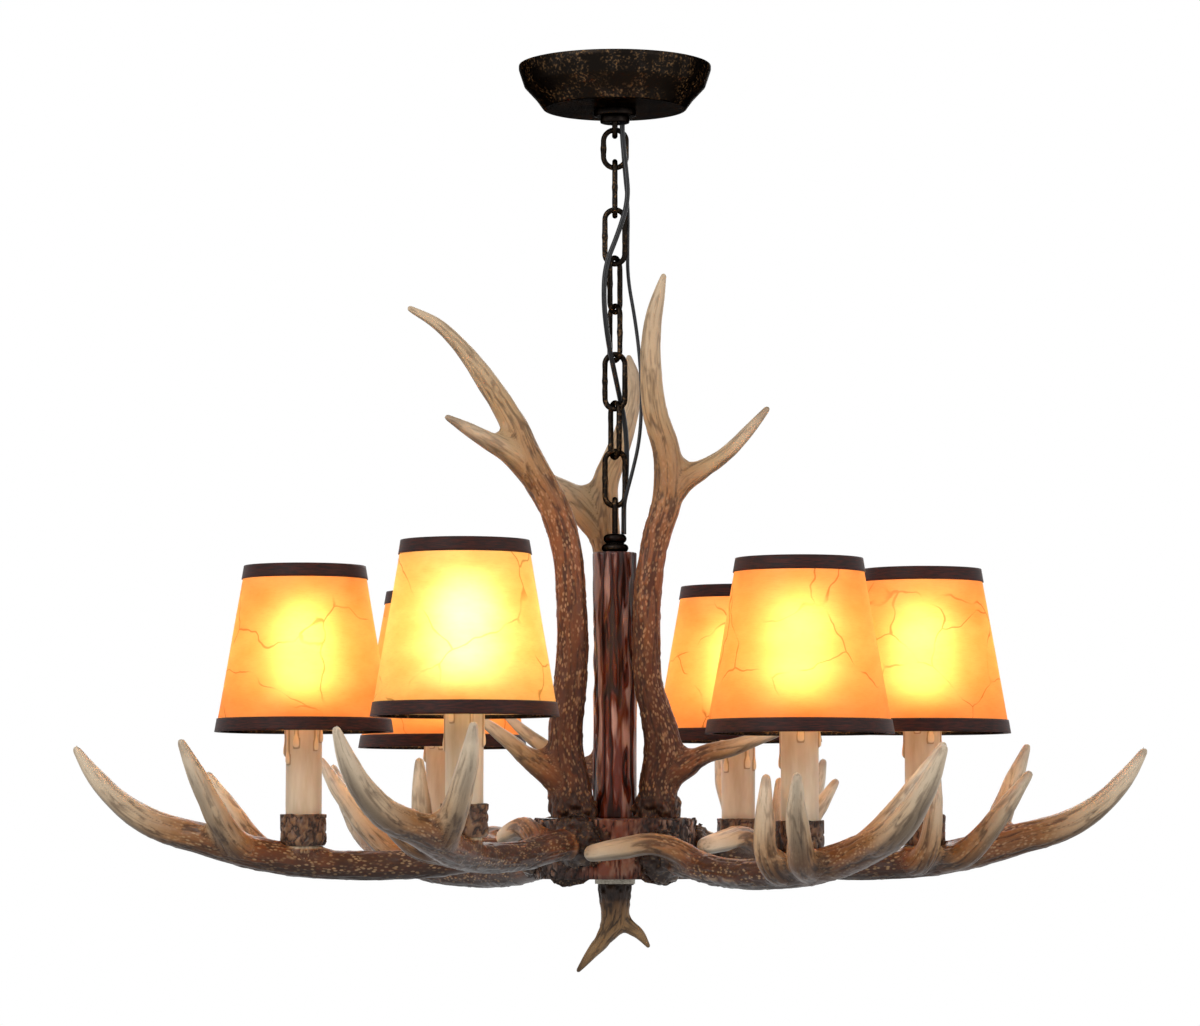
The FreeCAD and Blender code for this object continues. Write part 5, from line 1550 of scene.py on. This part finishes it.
@dataclass
class Canopy:
    """The spun steel cover at the ceiling, the disc under it and its screw collar."""

    wall: float = 1.2
    nipple_hole: float = 5.2
    collar_bore: float = 3.0
    foot: float = 50.5
    step: float = 55.5
    shoulder: float = 64.0
    lip: float = 3.0
    ceiling_gap: float = 0.05
    dent: float = 0.18

    def cover(self, palette: Palette) -> None:
        """A thin shell: flat foot, two coves and a straight lip, all edges rounded."""
        low, high = node_box("canopy_cover")
        rim, base, top = high[0], low[2], high[2]
        tall = top - base
        outside = [
            (self.foot, base),
            (self.step, base + 0.22 * tall),
            (self.shoulder, base + 0.52 * tall),
            (rim, top - self.lip),
            (rim, top - self.ceiling_gap),
        ]
        inside = [(r - self.wall, max(h, base + self.wall)) for r, h in reversed(outside)]
        outline = [(self.nipple_hole, base), *outside, *inside, (self.nipple_hole, base + self.wall)]
        shell = lathe(outline, around=160, step=1.5, soften=0.5)
        dents = self.dent * layered(shell.corners, 22.0, 71, 2) * smooth(shell.from_axis(), 12.0, 30.0)
        shell = shell.carved(dents)
        place_piece("canopy_cover_spun", "canopy_cover", shell, Slot.BLACK, palette.black, body="canopy")

    def build(self, palette: Palette) -> None:
        """Makes the cover, and turned discs with rounded edges for the flange and the collar."""
        self.cover(palette)
        for node, bore in (("canopy_flange", self.nipple_hole), ("canopy_collar", self.collar_bore)):
            low, high = node_box(node)
            shell = lathe(wall_outline(bore, high[0], low[2], high[2]), around=72, step=1.0, soften=1.1)
            place_piece(f"{node}_turned", node, shell, Slot.BLACK, palette.knob, body="canopy")


@dataclass
class Chain:
    """Welded links: a short one under the ceiling loop, then seven long ones, each turned to the next."""

    wire: float = 4.0
    gap: float = 0.3
    width: float = 18.0
    length: float = 42.5
    first_width: float = 20.0
    first_length: float = 31.0
    yaws: tuple[float, ...] = (90, 0, 60, 120, 0, 115, 0)
    weld: float = 0.16
    weld_length: float = 2.2
    dent: float = 0.12
    around: int = 16
    along: int = 120

    def link(self, width: float, length: float, top: float, yaw: float, seed: int) -> Shell:
        """A round wire carried round a stadium: two straights joined by half circles, thicker at its weld.

        Args:
            width: Outside width.
            length: Outside length.
            top: Level of the wire's centre at the top.
            yaw: Turn about the vertical, in degrees.
            seed: Chooses the hammer marks.

        Returns:
            The link in its place.
        """
        bend, straight = (width - self.wire) / 2, length - width
        arc = np.pi * bend
        s = np.linspace(0, 2 * (straight + arc), self.along, endpoint=False)
        turn = np.clip(s, 0, arc) / bend + np.clip(s - arc - straight, 0, arc) / bend
        down = np.clip(s - arc, 0, straight) - np.clip(s - 2 * arc - straight, 0, straight)
        radial = np.stack([np.cos(turn), 0 * s, np.sin(turn)], -1)
        middle = bend * radial - down[:, None] * UP
        angle = np.linspace(0, 2 * np.pi, self.around, endpoint=False)
        thick = self.wire / 2 * (1 + self.weld * np.exp(-(((s - arc - straight / 2) / self.weld_length) ** 2)))
        side = np.array([0.0, 1.0, 0.0])
        ring = np.cos(angle)[None, :, None] * radial[:, None] + np.sin(angle)[None, :, None] * side
        corners = (middle[:, None] + ring * thick[:, None, None]).reshape(-1, 3)
        dents = self.dent * noise(corners, 5.0, seed) - 0.1
        corners = corners + ring.reshape(-1, 3) * dents[:, None]
        shell = Shell(corners, grid_faces(len(s), self.around, True)).outward()
        return shell.moved(z=top - bend).turned(yaw)

    def build(self, palette: Palette) -> None:
        """The first link on its own body, the rest as one piece."""
        overlap = 2 * self.wire + self.gap
        top = node_box("canopy_loop")[0][2] + self.wire / 2 + self.wire + self.gap
        first = self.link(self.first_width, self.first_length, top, 0, 81)
        place_piece("chain_link_1_welded", "chain_link_1", first, Slot.BLACK, palette.black, body="first_link")
        top -= self.first_length - overlap
        links = []
        for number, yaw in enumerate(self.yaws):
            links.append(self.link(self.width, self.length, top, yaw, 82 + number))
            top -= self.length - overlap
        place_piece("chain_links_welded", "chain_links", joined(links), Slot.BLACK, palette.black, body="chain")


@dataclass
class Cords:
    """The flex and its earth wire, from the collar down beside the chain to the knob.

    Points are in metres, as the cords' routes in the CAD model are laid.
    """

    supply: Points = (
        (0.0052, -0.0066, -0.041), (0.0052, -0.0066, -0.054), (0.008, -0.009, -0.076), (0.0095, -0.011, -0.098),
        (0.002, -0.012, -0.122), (-0.007, -0.0135, -0.144), (-0.008, -0.014, -0.170), (-0.005, -0.011, -0.196),
        (-0.0015, -0.006, -0.213), (0.003, 0.0065, -0.233), (0.007, 0.009, -0.252), (0.0085, 0.0085, -0.272),
        (0.008, 0.0075, -0.292), (0.0063, 0.0055, -0.308), (0.0062, 0.0015, -0.323), (0.0062, 0.0015, -0.332),
    )
    earth: Points = (
        (0.0052, 0.0066, -0.041), (0.0052, 0.0066, -0.054), (0.007, 0.009, -0.076), (0.0095, 0.010, -0.100),
        (0.009, 0.011, -0.126), (0.009, 0.0105, -0.150), (0.014, 0.006, -0.178), (0.0175, 0.002, -0.206),
        (0.019, -0.001, -0.236), (0.0175, -0.004, -0.266), (0.012, -0.007, -0.290), (0.007, -0.0065, -0.308),
        (0.0056, -0.0026, -0.323), (0.0056, -0.0026, -0.332),
    )
    supply_diameter: float = 0.0036
    earth_diameter: float = 0.0026
    joint_level: float = -0.0727
    joint_reach: float = 0.004
    around: int = 16

    def line(self, points: Points) -> np.ndarray:
        """Points along the smooth NURBS line that the route's points control."""
        curve = bpy.data.curves.new("route", "CURVE")
        curve.dimensions = "3D"
        spline = curve.splines.new("NURBS")
        spline.points.add(len(points) - 1)
        spline.points.foreach_set("co", np.array([(*point, 1.0) for point in points]).ravel())
        spline.order_u = 3
        spline.use_endpoint_u = True
        spline.resolution_u = 8
        places = final_mesh(new_object("route", curve))[0]
        bpy.data.curves.remove(curve)
        return places

    def cord(self, node: str, points: Points, diameter: float, finish: Material) -> None:
        """A round sheath along the line."""
        line = self.line(points)
        route = Route(line / MM, np.full(len(line), diameter / 2 / MM))
        piece = mesh_object(f"{node}_sheath", route.tube(self.around))
        piece.data.materials.append(finish)
        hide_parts(node)
        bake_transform(piece)

    def build(self, palette: Palette) -> None:
        """Lays both."""
        self.cord("supply_cord", self.supply, self.supply_diameter, palette.cord)
        self.cord("earth_wire", self.earth, self.earth_diameter, palette.cord)


def dress_nodes(palette: Palette) -> None:
    """Gives each CAD node that stays its finish."""
    plated = ("ceiling_bracket", "threaded_nipple", "bracket_nut", "stem_tube", "arm_screws", "upright_screws",
              "finial_washer", "lamp_tubes")
    black = ("canopy_loop", "stem_eye", "hub_plate", *(f"shade_clip_{number}" for number in LIGHTS))
    plastic, brass = ("terminal_block", "lampholders"), ("ground_screw",)
    groups = (plated, palette.plated), (black, palette.black), (plastic, palette.plastic), (brass, palette.brass)
    for nodes, finish in groups:
        for node in nodes:
            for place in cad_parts[node].material_slots:
                place.material = finish
            log.info("%s: %s", node, finish.name)


# ---------------------------------------------------------------- camera, light and floor


@dataclass
class Studio:
    """The camera, at the photograph's viewing angle, and a plain pale studio."""

    distance: float = 3.01
    eye_level: float = -0.544
    lens: float = 129.0
    pitch: float = 4.31
    aim: float = -0.2
    lit_level: float = -0.4
    floor_level: float = -1.9
    floor_size: float = 14.0
    floor_white: float = 0.85

    def camera(self) -> None:
        """In front of the axis, looking up a little."""
        data = bpy.data.cameras.new("camera")
        data.lens = self.lens
        data.sensor_width = 36.0
        data.clip_end = 60.0
        camera = new_object("camera", data)
        camera.location = (0.0, -self.distance, self.eye_level)
        camera.rotation_euler = (math.radians(90 + self.pitch), 0.0, math.radians(-self.aim))
        bpy.context.scene.camera = camera

    def seen(self, add: Adder) -> Socket:
        """1 for what the camera, gloss and clear pieces see, and 0 for what lights the object."""
        path = add("LightPath").node.outputs
        first = add("Math", LARGER, {0: path["Is Camera Ray"], 1: path["Is Glossy Ray"]})
        return add("Math", LARGER, {0: first, 1: path["Is Transmission Ray"]})

    def world(self) -> None:
        """White where it is seen, a soft even light elsewhere."""
        world = bpy.data.worlds.new("studio")
        add = cleared(world)
        light = add("Background", {"Color": "F4F4F8", "Strength": 0.5})
        white = add("Background", {"Color": "FFFFFF", "Strength": 1.0})
        both = add("MixShader", links={0: self.seen(add), 1: light, 2: white})
        add("OutputWorld", links={"Surface": both})
        bpy.context.scene.world = world

    def floor(self) -> None:
        """A plain floor far below: white where it is seen, with the object's shadow left in."""
        half, level = self.floor_size / 2 / MM, self.floor_level / MM
        corners = np.array([(-half, -half, level), (half, -half, level), (half, half, level), (-half, half, level)])
        floor = mesh_object("floor", Shell(corners, np.array([[0, 1, 2, 3]])))
        material = bpy.data.materials.new("pale_floor")
        add = cleared(material)
        matt = add("BsdfDiffuse", {"Color": "F2F2F0"})
        white = add("Emission", {"Color": "FFFFFF", "Strength": 1.0})
        share = add("Math", TIMES | {1: self.floor_white}, {0: self.seen(add)})
        both = add("MixShader", links={0: share, 1: matt, 2: white})
        add("OutputMaterial", links={"Surface": both})
        floor.data.materials.append(material)

    def lamp(self, name: str, place: tuple[float, float, float], size: float, power: float) -> None:
        """A square soft lamp that faces the middle of the object."""
        data = bpy.data.lights.new(name, "AREA")
        data.size = size
        data.energy = power
        lamp = new_object(name, data)
        lamp.location = place
        lamp.rotation_euler = (Vector((0, 0, self.lit_level)) - lamp.location).to_track_quat("-Z", "Y").to_euler()

    def build(self) -> None:
        """Sets up the camera, the world, the floor and the lamps."""
        self.camera()
        self.world()
        self.floor()
        self.lamp("key", (-1.6, -2.2, 1.0), 1.4, 42.0)
        self.lamp("fill", (2.2, -1.8, 0.2), 1.6, 22.0)
        self.lamp("back", (0.4, 2.2, 0.8), 1.6, 20.0)
        bpy.context.scene.view_settings.view_transform = "Standard"


def main() -> None:
    """Builds the chandelier round its frame, sub-assembly by sub-assembly."""
    logging.basicConfig(level=logging.INFO, format="%(name)s %(message)s")
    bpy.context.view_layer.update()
    lights = [Light.from_frame(number) for number in LIGHTS]
    palette = Palette()
    Studio().build()
    Cords().build(palette)
    Canopy().build(palette)
    Chain().build(palette)
    BarkPost().build(palette)
    Hub().build(palette)
    Arms(lights, node_box("hub_ring")[1][0]).build(palette)
    Uprights(node_box("hub_ring")[1][2]).build(palette)
    Finial(node_box("finial_washer")[0][2]).build(palette)
    Cups(lights).build(palette)
    Sleeves(lights).build(palette)
    Bulbs(lights).build(palette)
    Shades(lights).build(palette)
    dress_nodes(palette)


if __name__ == "__main__":
    main()
